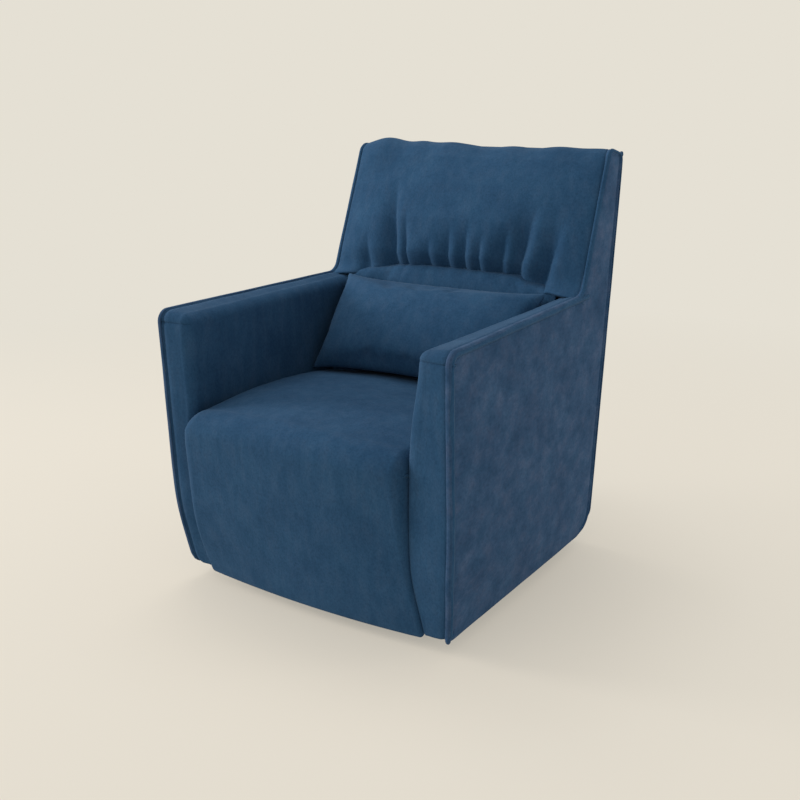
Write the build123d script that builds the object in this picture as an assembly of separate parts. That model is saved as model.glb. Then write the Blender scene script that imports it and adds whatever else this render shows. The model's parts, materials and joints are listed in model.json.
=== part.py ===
from build123d import *
import os
from math import atan2, cos, hypot, pi, radians, sin, sqrt, tan

# Upholstered swivel armchair with a gathered back and a loose lumbar pillow.
# Millimetres, +Z up from the floor, the sitter faces -Y, the swivel axis is Z.

# Fits and layers
LAYER_GAP = 0.2          # between one layer of upholstery and the next
TURN_GAP = 0.3           # between pieces that turn past each other
HOLE_GAP = 0.1           # round a bolt or screw in its hole
COVER_T = 3.0            # fabric with its bonded backing
OVERCUT = 1.0            # how far a cutting shape runs past the face it cuts

# Swivel base
GLIDE_D = 32.0
GLIDE_H = 5.0
GLIDE_COUNT = 6
GLIDE_INSET = 34.0       # disc edge to the middle of a glide
DISC_D = 460.0
DISC_T = 20.0
DISC_EDGE = 3.0
PLATE_W = 270.0
PLATE_T = 2.5
PLATE_CORNER_R = 30.0
PLATE_HOLE_INSET = 24.0  # plate edge to a screw
ROLLER_D = 8.0
ROLLER_L = 16.0
ROLLER_COUNT = 8
ROLLER_CIRCLE_D = 190.0
RACE_H = 1.5             # raised ring on each plate
RACE_MARGIN = 3.0        # race past each end of a roller
CAGE_T = 1.4
CAGE_RIM = 6.0           # cage past each end of a roller
CAGE_BORE_D = 60.0
PIVOT_D = 12.0
PIVOT_AF = 18.0          # across the flats of its head and nut
PIVOT_HEAD_H = 7.5
PIVOT_NUT_H = 10.0
PIVOT_TAIL = 3.0         # bolt showing above the nut
WASHER_D = 30.0
WASHER_T = 2.0
BORE_ROOM = 6.0          # free room round the head and the washer
SCREW_D = 5.0
SCREW_AF = 10.0          # across the flats of its head
SCREW_HEAD_H = 3.0
SCREW_SHORT = 4.0        # wood left below a screw tip
BOLT_D = 8.0
BOLT_AF = 13.0           # across the flats of its head and nut
BOLT_HEAD_H = 4.0
BOLT_NUT_H = 6.5
DUST_T = 1.2

# Side view of the body: reach from the swivel axis and rise above the bottom edge
FRONT_REACH = 393.0      # arm fronts
FOOT_SETBACK = 43.0      # bottom front edge behind the arm fronts
KNEE_SETBACK = 18.0      # bend of the front behind the arm fronts
KNEE_RISE = 140.0
KNEE_R = 600.0
ARM_FRONT_RISE = 592.0
ARM_FRONT_R = 28.0
ARM_LIFT = 10.0          # arm higher at the back than at the front
ARM_REAR_R = 34.0
REAR_REACH = 417.0       # top rear edge of the back
BACK_TOP_DEPTH = 76.0    # across the top of the back
BACK_LEAN_REACH = 123.0  # lean of the back from the arm to the top
BACK_RISE = 318.0        # top of the back above the arm
BACK_TOP_DROP = 12.0     # top lower at its rear edge
BACK_FRONT_R = 26.0
BACK_REAR_R = 6.0
HEEL_SETBACK = 90.0      # bottom rear edge ahead of the top rear edge
HEEL_R = 50.0

# Front view and plan of the body
WIDTH = 730.0            # across the arm fronts
REAR_TAPER = 21.0        # each side comes in by this towards the back
FOOT_TUCK = 20.0         # each side curves in by this at the bottom edge
TUCK_RISE = 290.0        # height over which it does so
ARM_W = 76.0             # across an arm at its front
ARM_EDGE_R = 22.0        # soft inner edge of an arm

# Frame
PLY_T = 18.0
SIDE_PAD_MIN = 10.0      # least padding and cover outside a side frame
FRAME_INSET = 20.0       # side frame edge behind the body's outline
RAIL_T = 22.0
RAIL_H = 60.0
SWIVEL_BOARD_W = 400.0
REAR_RAIL_SETBACK = 50.0  # rear rail ahead of the bottom rear edge
BLOCK_LEG = 60.0
BLOCK_H = 50.0
STRAP_W = 50.0
STRAP_T = 2.0
STRAP_END = 6.0          # rail left bare past a strap's end
LONG_STRAP_COUNT = 6
CROSS_STRAP_COUNT = 5
BACK_STRAP_COUNT = 5
BACK_STRAP_SPAN = 440.0  # between the outer straps

# Seat cushion
SEAT_RISE = 395.0        # top of the seat beside an arm
SEAT_CROWN = 12.0        # extra height in the middle
SEAT_BULGE = 18.0        # extra reach of the front in the middle
SEAT_T = 130.0           # foam over the webbing
SEAT_SIDE_GAP = 1.0      # seat to arm
SEAT_FOOT_SETBACK = 46.0  # its bottom front edge behind the arm fronts
SEAT_WAIST_SETBACK = 4.0  # its waist behind the arm fronts
SEAT_WAIST_RISE = 242.0
SEAT_TURN_LEAD = 7.0     # where the front turns over, ahead of the arm fronts
SEAT_TURN_DROP = 57.0    # and below the seat's top
SEAT_LIP_SETBACK = 48.0  # where the turn meets the top, behind the arm fronts
SEAT_LIP_DROP = 15.0     # and below the seat's top
SEAT_PEAK_REACH = 142.0  # highest place ahead of the swivel axis
SEAT_REAR_DROP = 30.0
SEAT_BACK_GAP = 8.0      # seat's rear end to the back
SEAT_STATIONS = (-1.0, -0.6, 0.0, 0.6, 1.0)  # sections across it, as shares of half its width

# Back cushions, measured along and off the leaning line from arm to top
WEB_DEPTH = 30.0         # webbing behind the leaning line
SEAM_RUN = 25.0          # gathered seam above the arm
TOP_PUFF = 11.0          # upper cushion past the end of the line
TOP_RAIL_DROP = 44.0     # top rail below the cushion's top
LOW_RAIL_LIFT = 20.0     # low rail above the seat webbing
GATHER_COUNT = 13
WRAP_T = 12.0            # gathered cover with its wadding
PLAIN_LOBE_H = 0.5       # lobes of the foam, which isn't gathered
# Sections up the upper cushion: share of its height, edge behind the line, crown, lobes
CUSHION_STATIONS = (
    (0.0, 2.0, 16.0, 9.0),
    (0.1, -2.0, 38.0, 5.0),
    (0.37, -3.0, 45.0, 1.6),
    (0.65, -2.0, 38.0, 0.8),
    (0.89, 4.0, 24.0, 0.6),
    (1.0, 34.0, 6.0, 0.5),
)
LOWER_CROWN = 8.0
LOWER_END_LIFT = 10.0    # lower end of the back pad above the seat
BACK_BOARD_T = 3.0

# Lumbar pillow
PILLOW_SIDE_ROOM = 13.0  # each end of the pillow to an arm
PILLOW_H = 272.0
PILLOW_T = 128.0
PILLOW_LEAN_DEG = 35.0   # from upright
PILLOW_END_T = 16.0
PILLOW_REST_GAP = 0.4
PILLOW_COVER_T = 3.0
PILLOW_SEAM = 8.0        # sewn edge outside the filling
# Sections from the middle to an end: shares of half the length, the height and the thickness
PILLOW_STATIONS = ((0.0, 1.0, 1.0), (0.5, 0.99, 0.94), (0.82, 0.97, 0.66), (1.0, 0.98, 0.0))

# Heights of the swivel, from the floor up
DISC_TOP = GLIDE_H + DISC_T
LOWER_TOP = DISC_TOP + PLATE_T
ROLLER_Z = LOWER_TOP + RACE_H + TURN_GAP + ROLLER_D / 2
UPPER_BOTTOM = ROLLER_Z + ROLLER_D / 2 + TURN_GAP + RACE_H
BODY_Z = UPPER_BOTTOM + PLATE_T
BOARD_Z = BODY_Z + DUST_T
BOARD_TOP = BOARD_Z + PLY_T
HOLE_OFF = PLATE_W / 2 - PLATE_HOLE_INSET
HOLE_SPOTS = [(x, y) for x in (-HOLE_OFF, HOLE_OFF) for y in (-HOLE_OFF, HOLE_OFF)]
WASHER_Z = BODY_Z + TURN_GAP
NUT_Z = WASHER_Z + WASHER_T

# Corners of the side view
FOOT_FRONT = FRONT_REACH - FOOT_SETBACK
KNEE_REACH = FRONT_REACH - KNEE_SETBACK
ARM_REAR_RISE = ARM_FRONT_RISE + ARM_LIFT
BACK_FRONT = REAR_REACH - BACK_TOP_DEPTH
BACK_FRONT_RISE = ARM_REAR_RISE + BACK_RISE
BACK_REAR_RISE = BACK_FRONT_RISE - BACK_TOP_DROP
ARM_REAR = BACK_FRONT - BACK_LEAN_REACH
HEEL_REACH = REAR_REACH - HEEL_SETBACK

# Places that several pieces share
FAR = 2000.0
ARM_INNER = WIDTH / 2 - ARM_W
REAR_HALF = WIDTH / 2 - REAR_TAPER
PLY_OUT = REAR_HALF - SIDE_PAD_MIN
PLY_IN = PLY_OUT - PLY_T
LAYER = COVER_T + LAYER_GAP
SEAT_HALF = ARM_INNER - SEAT_SIDE_GAP
SEAT_Z = BODY_Z + SEAT_RISE
RAIL_TOP = SEAT_Z - SEAT_T
WEB_TOP = RAIL_TOP + 2 * STRAP_T
FRONT_BOARD_Y = -(FOOT_FRONT - FRAME_INSET) + OVERCUT
FRONT_BOARD_REAR = FRONT_BOARD_Y + PLY_T
REAR_RAIL_Y = HEEL_REACH - REAR_RAIL_SETBACK - RAIL_T
COVER_EDGE_Y = REAR_RAIL_Y + RAIL_T + LAYER_GAP
LEAN = atan2(BACK_LEAN_REACH, BACK_RISE)
TOP_RUN = hypot(BACK_LEAN_REACH, BACK_RISE) + TOP_PUFF
TOP_RAIL_RUN = TOP_RUN - TOP_RAIL_DROP
REAR_SLOPE = HEEL_SETBACK / BACK_REAR_RISE
BACK_LINE = Plane(
    origin=(0, ARM_REAR, BODY_Z + ARM_REAR_RISE),
    x_dir=(1, 0, 0),
    z_dir=(0, sin(LEAN), cos(LEAN)),
)
BACK_HALF = PLY_OUT - LAYER_GAP
UP = (Align.CENTER, Align.CENTER, Align.MIN)


def back_y(z):
    """Reach of the leaning line at a height."""
    return ARM_REAR + (z - BODY_Z - ARM_REAR_RISE) * tan(LEAN)


def back_run(z, depth):
    """Distance along the leaning line to a height, at a depth behind it."""
    return (z - BODY_Z - ARM_REAR_RISE + depth * sin(LEAN)) / cos(LEAN)


def rear_rise(run):
    """Rise at which the sloping rear line is reached at a run along the leaning line."""
    level = ARM_REAR_RISE * cos(LEAN) - (HEEL_REACH - ARM_REAR) * sin(LEAN)
    return (run + level) / (cos(LEAN) + REAR_SLOPE * sin(LEAN))


SEAT_REAR = back_y(SEAT_Z) - SEAT_BACK_GAP
BACK_PAD_TOP = rear_rise(TOP_RAIL_RUN) - LAYER_GAP
RAIL_DEPTH = WEB_DEPTH + STRAP_T
LOW_RAIL_RUN = back_run(WEB_TOP + LOW_RAIL_LIFT, RAIL_DEPTH + RAIL_T)
SEAT_REAR_RAIL_Y = SEAT_REAR + RAIL_T


def box(x0, x1, y0, y1, z0, z1):
    """Block between two corners."""
    return Pos((x0 + x1) / 2, (y0 + y1) / 2, (z0 + z1) / 2) * Box(x1 - x0, y1 - y0, z1 - z0)


def back_block(half, depth0, depth1, run0, run1):
    """Block set square to the leaning line."""
    middle = Pos(0, (depth0 + depth1) / 2, (run0 + run1) / 2)
    return BACK_LINE * middle * Box(2 * half, depth1 - depth0, run1 - run0)


def rod(diameter, z0, z1):
    """Upright cylinder on the Z axis."""
    return Pos(0, 0, z0) * Cylinder(diameter / 2, z1 - z0, align=UP)


def at_holes(solid):
    """Copies of a solid at the four corners of the swivel plates."""
    return [Pos(x, y, 0) * solid for x, y in HOLE_SPOTS]


def mirrored(solid):
    """The left-hand twin of a right-hand piece."""
    return mirror(solid, about=Plane.YZ)


def drawn_in(corners, insets):
    """Corners of a clockwise outline after each edge moves inwards by its inset."""
    lines = []
    for i, (y0, z0) in enumerate(corners):
        y1, z1 = corners[(i + 1) % len(corners)]
        length = hypot(y1 - y0, z1 - z0)
        ty, tz = (y1 - y0) / length, (z1 - z0) / length
        lines.append((y0 + tz * insets[i], z0 - ty * insets[i], ty, tz))
    moved = []
    for i in range(len(corners)):
        ay, az, aty, atz = lines[i - 1]
        by, bz, bty, btz = lines[i]
        along = ((by - ay) * btz - (bz - az) * bty) / (aty * btz - atz * bty)
        moved.append((ay + aty * along, az + atz * along))
    return moved


def side_outline(inset, bottom=0.0):
    """Side view of the body on (y, z), drawn in by inset and raised at the bottom edge."""
    rises = (
        (-FOOT_FRONT, 0, 0),
        (-KNEE_REACH, KNEE_RISE, KNEE_R - inset),
        (-FRONT_REACH, ARM_FRONT_RISE, ARM_FRONT_R - inset),
        (ARM_REAR, ARM_REAR_RISE, ARM_REAR_R + inset),
        (BACK_FRONT, BACK_FRONT_RISE, BACK_FRONT_R - inset),
        (REAR_REACH, BACK_REAR_RISE, max(BACK_REAR_R - inset, OVERCUT)),
        (HEEL_REACH, 0, HEEL_R - inset),
    )
    corners = [(y, BODY_Z + rise) for y, rise, _ in rises]
    insets = [inset for _ in corners[1:]] + [bottom]
    path = FilletPolyline(*drawn_in(corners, insets), radius=[r for _, _, r in rises], close=True)
    return make_face(path)


def slab(face, x0, x1):
    """A (y, z) face pulled from x0 to x1."""
    return extrude(Plane.YZ.offset(x0) * face, amount=x1 - x0)


def half_width(y, inset):
    """Half the body's width in plan at a reach."""
    slope = REAR_TAPER / (FRONT_REACH + REAR_REACH)
    return WIDTH / 2 - inset - slope * (y + FRONT_REACH)


def envelope(inset):
    """All the room between the two side faces, which taper rearwards and tuck in at the foot."""
    front, rear = -2 * FRONT_REACH, 2 * REAR_REACH
    plan = Polyline(
        (-half_width(front, inset), front),
        (half_width(front, inset), front),
        (half_width(rear, inset), rear),
        (-half_width(rear, inset), rear),
        close=True,
    )
    tall = extrude(make_face(plan), amount=FAR)
    wide = WIDTH / 2 - inset
    foot = wide - FOOT_TUCK
    bend_z = BODY_Z + TUCK_RISE
    radius = (TUCK_RISE**2 + FOOT_TUCK**2) / (2 * FOOT_TUCK)
    half_rise = TUCK_RISE / 2
    bow = wide - radius + sqrt(radius**2 - half_rise**2)
    low_z = BODY_Z - OVERCUT
    low_x = wide - radius + sqrt(radius**2 - (bend_z - low_z) ** 2)
    view = [
        Line((-low_x, low_z), (low_x, low_z)),
        ThreePointArc((low_x, low_z), (bow, bend_z - half_rise), (wide, bend_z)),
        Line((wide, bend_z), (wide, FAR)),
        Line((wide, FAR), (-wide, FAR)),
        Line((-wide, FAR), (-wide, bend_z)),
        ThreePointArc((-wide, bend_z), (-bow, bend_z - half_rise), (-low_x, low_z)),
    ]
    deep = extrude(Plane.XZ * make_face(view), amount=FAR, both=True)
    return tall & deep


def floor_glides():
    pad = Cylinder(GLIDE_D / 2, GLIDE_H, align=UP)
    return [spot * pad for spot in PolarLocations(DISC_D / 2 - GLIDE_INSET, GLIDE_COUNT)]


def head_bore_d():
    """Round room for the hexagon head of the pivot bolt."""
    return PIVOT_AF / cos(pi / 6) + 2 * BORE_ROOM


def base_disc():
    disc = Pos(0, 0, GLIDE_H) * Cylinder(DISC_D / 2, DISC_T, align=UP)
    disc = chamfer(disc.edges().group_by(Axis.Z)[-1], DISC_EDGE)
    disc -= rod(head_bore_d(), 0, DISC_TOP + OVERCUT)
    tip = GLIDE_H + SCREW_SHORT - HOLE_GAP
    return disc - at_holes(rod(SCREW_D + 2 * HOLE_GAP, tip, DISC_TOP + OVERCUT))


def race_plate(plate_z, race_z, pivot_hole_d, corner_hole_d):
    """Square plate with a raised ring on the side of the rollers."""
    plan = RectangleRounded(PLATE_W, PLATE_W, PLATE_CORNER_R)
    plate = extrude(Plane.XY.offset(plate_z) * plan, amount=PLATE_T)
    race_w = ROLLER_L + 2 * RACE_MARGIN
    ring = rod(ROLLER_CIRCLE_D + race_w, race_z, race_z + RACE_H)
    ring -= rod(ROLLER_CIRCLE_D - race_w, race_z - OVERCUT, race_z + RACE_H + OVERCUT)
    plate += ring
    plate -= rod(pivot_hole_d, 0, BODY_Z + OVERCUT)
    return plate - at_holes(rod(corner_hole_d, 0, BODY_Z + OVERCUT))


def lower_race_plate():
    return race_plate(DISC_TOP, LOWER_TOP, PIVOT_D + 2 * HOLE_GAP, SCREW_D + 2 * HOLE_GAP)


def upper_race_plate():
    low = UPPER_BOTTOM - RACE_H
    return race_plate(UPPER_BOTTOM, low, PIVOT_D + 2 * TURN_GAP, BOLT_D + 2 * HOLE_GAP)


def hexagon(across_flats, z0, z1):
    """Upright hexagon bar on the Z axis."""
    plan = RegularPolygon(across_flats / 2, 6, major_radius=False)
    return extrude(Plane.XY.offset(z0) * plan, amount=z1 - z0)


def lower_plate_screws():
    shank = rod(SCREW_D, GLIDE_H + SCREW_SHORT, LOWER_TOP)
    return at_holes(shank + hexagon(SCREW_AF, LOWER_TOP, LOWER_TOP + SCREW_HEAD_H))


def pivot_bolt():
    head = hexagon(PIVOT_AF, DISC_TOP - PIVOT_HEAD_H, DISC_TOP)
    return head + rod(PIVOT_D, DISC_TOP, NUT_Z + PIVOT_NUT_H + PIVOT_TAIL)


def pivot_washer():
    return rod(WASHER_D, WASHER_Z, NUT_Z) - rod(PIVOT_D + 2 * HOLE_GAP, 0, NUT_Z + OVERCUT)


def pivot_nut():
    top = NUT_Z + PIVOT_NUT_H
    return hexagon(PIVOT_AF, NUT_Z, top) - rod(PIVOT_D + 2 * HOLE_GAP, 0, top + OVERCUT)


def roller_cage():
    low, high = ROLLER_Z - CAGE_T / 2, ROLLER_Z + CAGE_T / 2
    cage = rod(ROLLER_CIRCLE_D + ROLLER_L + 2 * CAGE_RIM, low, high)
    cage -= rod(CAGE_BORE_D, 0, high + OVERCUT)
    room = 2 * TURN_GAP
    pocket = Pos(0, 0, ROLLER_Z) * Box(ROLLER_L + room, ROLLER_D + room, 2 * CAGE_T)
    return cage - [spot * pocket for spot in PolarLocations(ROLLER_CIRCLE_D / 2, ROLLER_COUNT)]


def bearing_rollers():
    roller = Pos(0, 0, ROLLER_Z) * Rot(0, 90, 0) * Cylinder(ROLLER_D / 2, ROLLER_L)
    return [spot * roller for spot in PolarLocations(ROLLER_CIRCLE_D / 2, ROLLER_COUNT)]


def upper_plate_bolts():
    shank = rod(BOLT_D, UPPER_BOTTOM, BOARD_TOP + BOLT_NUT_H)
    return at_holes(shank + hexagon(BOLT_AF, UPPER_BOTTOM - BOLT_HEAD_H, UPPER_BOTTOM))


def upper_plate_nuts():
    top = BOARD_TOP + BOLT_NUT_H
    nut = hexagon(BOLT_AF, BOARD_TOP, top) - rod(BOLT_D + 2 * HOLE_GAP, 0, top + OVERCUT)
    return at_holes(nut)


def board_holes(top):
    """Room for the pivot nut and the four bolts, from below."""
    corner = at_holes(rod(BOLT_D + 2 * HOLE_GAP, 0, top))
    return [rod(WASHER_D + 2 * BORE_ROOM, 0, top)] + corner


def swivel_board():
    half = SWIVEL_BOARD_W / 2
    board = box(-half, half, FRONT_BOARD_Y, REAR_RAIL_Y + RAIL_T, BOARD_Z, BOARD_TOP)
    return board - board_holes(BOARD_TOP + OVERCUT)


def front_board():
    return box(-PLY_IN, PLY_IN, FRONT_BOARD_Y, FRONT_BOARD_REAR, BOARD_TOP, RAIL_TOP)


def rear_rail():
    return box(-PLY_IN, PLY_IN, REAR_RAIL_Y, REAR_RAIL_Y + RAIL_T, BOARD_TOP, BOARD_TOP + RAIL_H)


def seat_rear_rail():
    rear = SEAT_REAR_RAIL_Y + RAIL_T
    return box(-PLY_IN, PLY_IN, SEAT_REAR_RAIL_Y, rear, RAIL_TOP - RAIL_H, RAIL_TOP)


def seat_side_rail():
    top = RAIL_TOP + STRAP_T
    inner = PLY_IN - RAIL_T
    return box(inner, PLY_IN, FRONT_BOARD_REAR, SEAT_REAR_RAIL_Y, top - RAIL_H, top)


def side_frame():
    return slab(side_outline(FRAME_INSET, LAYER), PLY_IN, PLY_OUT)


def corner_blocks():
    corner = make_face(Polyline((0, 0), (-BLOCK_LEG, 0), (0, BLOCK_LEG), close=True))
    front = Pos(PLY_IN, FRONT_BOARD_REAR, BOARD_TOP) * extrude(corner, amount=BLOCK_H)
    rear_corner = make_face(Polyline((0, 0), (0, -BLOCK_LEG), (-BLOCK_LEG, 0), close=True))
    rear = Pos(PLY_IN, REAR_RAIL_Y, BOARD_TOP) * extrude(rear_corner, amount=BLOCK_H)
    return [front, rear, mirrored(front), mirrored(rear)]


def back_rail(run):
    """Rail behind the back webbing, its lower edge at a run along the leaning line."""
    return back_block(PLY_IN, RAIL_DEPTH, RAIL_DEPTH + RAIL_T, run, run + RAIL_H)


def back_top_rail():
    return back_rail(TOP_RAIL_RUN - RAIL_H)


def back_mid_rail():
    return back_rail(SEAM_RUN - RAIL_H / 2)


def back_low_rail():
    return back_rail(LOW_RAIL_RUN)


def spread(count, span):
    """Evenly spaced places across a span, centred on zero."""
    return [span * (i / (count - 1) - 0.5) for i in range(count)]


def back_webbing():
    low, high = LOW_RAIL_RUN + STRAP_END, TOP_RAIL_RUN - STRAP_END
    strap = back_block(STRAP_W / 2, WEB_DEPTH, RAIL_DEPTH, low, high)
    return [Pos(x, 0, 0) * strap for x in spread(BACK_STRAP_COUNT, BACK_STRAP_SPAN)]


def seat_webbing_long():
    front = FRONT_BOARD_Y + STRAP_END
    rear = SEAT_REAR_RAIL_Y + RAIL_T - STRAP_END
    strap = box(-STRAP_W / 2, STRAP_W / 2, front, rear, RAIL_TOP, RAIL_TOP + STRAP_T)
    span = 2 * (PLY_IN - RAIL_T) - 2 * STRAP_W
    return [Pos(x, 0, 0) * strap for x in spread(LONG_STRAP_COUNT, span)]


def seat_webbing_cross():
    end = PLY_IN - STRAP_END
    middle = (FRONT_BOARD_REAR + SEAT_REAR) / 2
    span = SEAT_REAR - FRONT_BOARD_REAR - 2 * STRAP_W
    strap = box(-end, end, -STRAP_W / 2, STRAP_W / 2, RAIL_TOP + STRAP_T, WEB_TOP)
    return [Pos(0, middle + y, 0) * strap for y in spread(CROSS_STRAP_COUNT, span)]


def seat_section(x, half, inset, past):
    """Seat cushion cut at x: a falling front, a turned edge, a crowned top and a rear apron."""
    swell = 1 - (x / half) ** 2
    push = SEAT_BULGE * swell - inset
    lift = SEAT_CROWN * swell - inset
    top = SEAT_Z + lift
    front = -FRONT_REACH - push
    foot = (front + SEAT_FOOT_SETBACK, BODY_Z - past)
    waist = (front + SEAT_WAIST_SETBACK, BODY_Z + SEAT_WAIST_RISE)
    turn = (front - SEAT_TURN_LEAD, SEAT_Z - SEAT_TURN_DROP)
    lip = (front + SEAT_LIP_SETBACK, top - SEAT_LIP_DROP)
    round_off = sin(pi / 4)
    knee = (lip[0] + (turn[0] - lip[0]) * round_off, turn[1] + (lip[1] - turn[1]) * round_off)
    peak = (-SEAT_PEAK_REACH, top)
    rear = SEAT_REAR + past
    under = WEB_TOP - past
    apron = FRONT_BOARD_Y - LAYER_GAP + past
    edges = [
        ThreePointArc(foot, waist, turn),
        ThreePointArc(turn, knee, lip),
        ThreePointArc(lip, peak, (rear, top - SEAT_REAR_DROP)),
        Line((rear, top - SEAT_REAR_DROP), (rear, under)),
        Line((rear, under), (apron, under)),
        Line((apron, under), (apron, BODY_Z - past)),
        Line((apron, BODY_Z - past), foot),
    ]
    return Plane.YZ.offset(x) * make_face(edges)


def seat_form(inset, past=0.0):
    """Crowned seat cushion, drawn in by inset at its covered faces and grown at the others.

    Its hidden faces run straight from section to section."""
    half = SEAT_HALF - inset
    sections = [seat_section(half * k, half, inset, past) for k in SEAT_STATIONS]
    return loft(sections, ruled=inset > 0)


def seat_foam():
    return seat_form(LAYER)


def seat_cover():
    return seat_form(0) - seat_form(COVER_T, OVERCUT)


def arm_block(inset, outer):
    """Right arm from its soft inner face to x = outer, ending at the leaning line."""
    inner = ARM_INNER + inset
    block = slab(side_outline(inset), inner, outer)
    block -= back_block(FAR, -LAYER_GAP, FAR, -FAR, FAR)
    inner_face = block.faces().sort_by(Axis.X)[0]
    turned = [e for e in inner_face.outer_wire().edges() if on_arm_edge(e, inset)]
    block = fillet(turned, ARM_EDGE_R - inset)
    below = box(-FAR, PLY_IN, FRONT_BOARD_Y - LAYER_GAP, FAR, 0, WEB_TOP + LAYER_GAP)
    return block - below


def on_arm_edge(edge, inset):
    """Whether an edge of an arm's inner face lies along the arm's front or top."""
    middle = edge @ 0.5
    on_front = middle.Y < -FOOT_FRONT + inset + OVERCUT and middle.Z > BODY_Z + OVERCUT
    on_top = middle.Z > BODY_Z + ARM_FRONT_RISE - ARM_FRONT_R - inset
    return on_front or on_top


def arm_pad():
    frame_room = slab(side_outline(FRAME_INSET - LAYER_GAP), PLY_IN - LAYER_GAP, FAR)
    return arm_block(LAYER, PLY_OUT) - frame_room


def arm_cover():
    outer = arm_block(0, WIDTH) & envelope(LAYER)
    return outer - arm_block_room()


def arm_block_room():
    """Room inside an arm's cover, open to the side, the bottom and the back."""
    room = arm_block(COVER_T, WIDTH)
    behind = side_outline(COVER_T, -OVERCUT)
    return room + slab(behind, PLY_IN, WIDTH)


def side_skin(inset):
    """Right side of the body outside its frame, drawn in by inset all round."""
    return slab(side_outline(inset, inset), PLY_OUT + LAYER_GAP, WIDTH) & envelope(inset)


def side_pad():
    return side_skin(LAYER)


def side_cover():
    return side_skin(0) - envelope(COVER_T)


def cushion_section(run, edge, crown, scallop, half):
    """Upper back cushion cut square to the leaning line: lobes along a crowned front."""
    def spot(i):
        x = half * (2 * i / GATHER_COUNT - 1)
        return Vector(x, edge - crown * (1 - (x / half) ** 2))

    edges = []
    for i in range(GATHER_COUNT):
        crest = (spot(i) + spot(i + 1)) / 2 - Vector(0, scallop)
        edges.append(ThreePointArc(spot(i), crest, spot(i + 1)))
    rear = 2 * top_depth()
    edges.append(Line(spot(GATHER_COUNT), (half, rear)))
    edges.append(Line((half, rear), (-half, rear)))
    edges.append(Line((-half, rear), spot(0)))
    return BACK_LINE.offset(run) * make_face(edges)


def top_depth():
    """Depth of the back's top rear corner behind the leaning line."""
    return (REAR_REACH - ARM_REAR) * cos(LEAN) - (BACK_REAR_RISE - ARM_REAR_RISE) * sin(LEAN)


def cushion_form(inset, rear_inset, gathered, half, low_run):
    """Upper back cushion: pinched at the gathered seam, fullest above it, rolled at the top."""
    sections = []
    for share, edge, crown, scallop in CUSHION_STATIONS:
        run = low_run + share * (TOP_RUN - inset - low_run)
        depth = scallop if gathered else PLAIN_LOBE_H
        sections.append(cushion_section(run, edge + inset, crown, depth, half))
    return loft(sections) - rear_layer(-FAR, rear_inset, -FAR, FAR, FAR)


def back_room():
    """Room for the webbing, rails and side frames behind the back cushions."""
    middle = back_block(FAR, WEB_DEPTH - LAYER_GAP, FAR, -FAR, TOP_RAIL_RUN + LAYER_GAP)
    ply = slab(side_outline(FRAME_INSET - LAYER_GAP), PLY_IN - LAYER_GAP, WIDTH)
    return [middle, ply, mirrored(ply)]


def upper_back_foam():
    return cushion_form(WRAP_T + LAYER_GAP, LAYER, False, BACK_HALF, SEAM_RUN) - back_room()


def back_border():
    """Sewn border over the edge of the right side pad, from the arm to the top rear corner."""
    strip = edge_ring() & envelope(LAYER) & box(PLY_OUT, FAR, -FAR, FAR, 0, FAR)
    strip &= back_block(FAR, 0, FAR, 0, FAR)
    rear_side = back_block(FAR, top_depth() / 2, FAR, -FAR, FAR)
    return strip - (rear_side & box(-FAR, FAR, -FAR, FAR, 0, BODY_Z + BACK_PAD_TOP + LAYER_GAP))


def upper_back_cover():
    outside = cushion_form(0, LAYER_GAP, True, BACK_HALF, SEAM_RUN)
    inside = cushion_form(WRAP_T, COVER_T, False, BACK_HALF + OVERCUT, SEAM_RUN - OVERCUT)
    return outside - inside - back_room()


def lower_back_form(inset, past=0.0):
    """Crowned pad between the arms, from the seat up to the gathered seam."""
    half = SEAT_HALF
    crest = inset - LOWER_CROWN
    low = back_run(SEAT_Z + LOWER_END_LIFT, crest) - past
    rear = WEB_DEPTH - LAYER_GAP + past
    edges = [
        ThreePointArc((-half, inset), (0, crest), (half, inset)),
        Line((half, inset), (half, rear)),
        Line((half, rear), (-half, rear)),
        Line((-half, rear), (-half, inset)),
    ]
    high = SEAM_RUN - LAYER_GAP + past
    return extrude(BACK_LINE.offset(low) * make_face(edges), amount=high - low)


def lower_back_foam():
    return lower_back_form(LAYER)


def lower_back_cover():
    return lower_back_form(0) - lower_back_form(COVER_T, OVERCUT)


def rear_layer(near, deep, low_rise, high_rise, half):
    """Layer along the sloping rear line between two depths and two rises."""
    stretch = sqrt(1 + REAR_SLOPE**2)

    def spot(depth, rise):
        return (HEEL_REACH + REAR_SLOPE * rise - depth * stretch, BODY_Z + rise)

    corners = [spot(near, low_rise), spot(near, high_rise), spot(deep, high_rise), spot(deep, low_rise)]
    return slab(make_face(Polyline(*corners, close=True)), -half, half)


def outside_back_board():
    deep = FRAME_INSET
    return rear_layer(deep - BACK_BOARD_T, deep, HEEL_R, BACK_PAD_TOP, PLY_OUT)


def outside_back_pad():
    deep = FRAME_INSET - BACK_BOARD_T - LAYER_GAP
    return rear_layer(LAYER, deep, HEEL_R, BACK_PAD_TOP, PLY_OUT)


def edge_ring():
    """Cover-thick band round the whole side outline, right across the body."""
    return slab(side_outline(0) - side_outline(COVER_T, COVER_T), -WIDTH, WIDTH)


def outside_back_cover():
    top = BODY_Z + BACK_PAD_TOP
    rear_part = edge_ring() & envelope(LAYER) & box(-FAR, FAR, COVER_EDGE_Y, FAR, 0, top)
    return rear_part - back_block(FAR, -FAR, top_depth() / 2, -FAR, FAR)


def dust_cover():
    rear = COVER_EDGE_Y - LAYER_GAP
    sheet = box(-PLY_OUT, PLY_OUT, FRONT_BOARD_Y, rear, BODY_Z, BOARD_Z)
    return sheet - board_holes(BOARD_Z + OVERCUT)


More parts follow.
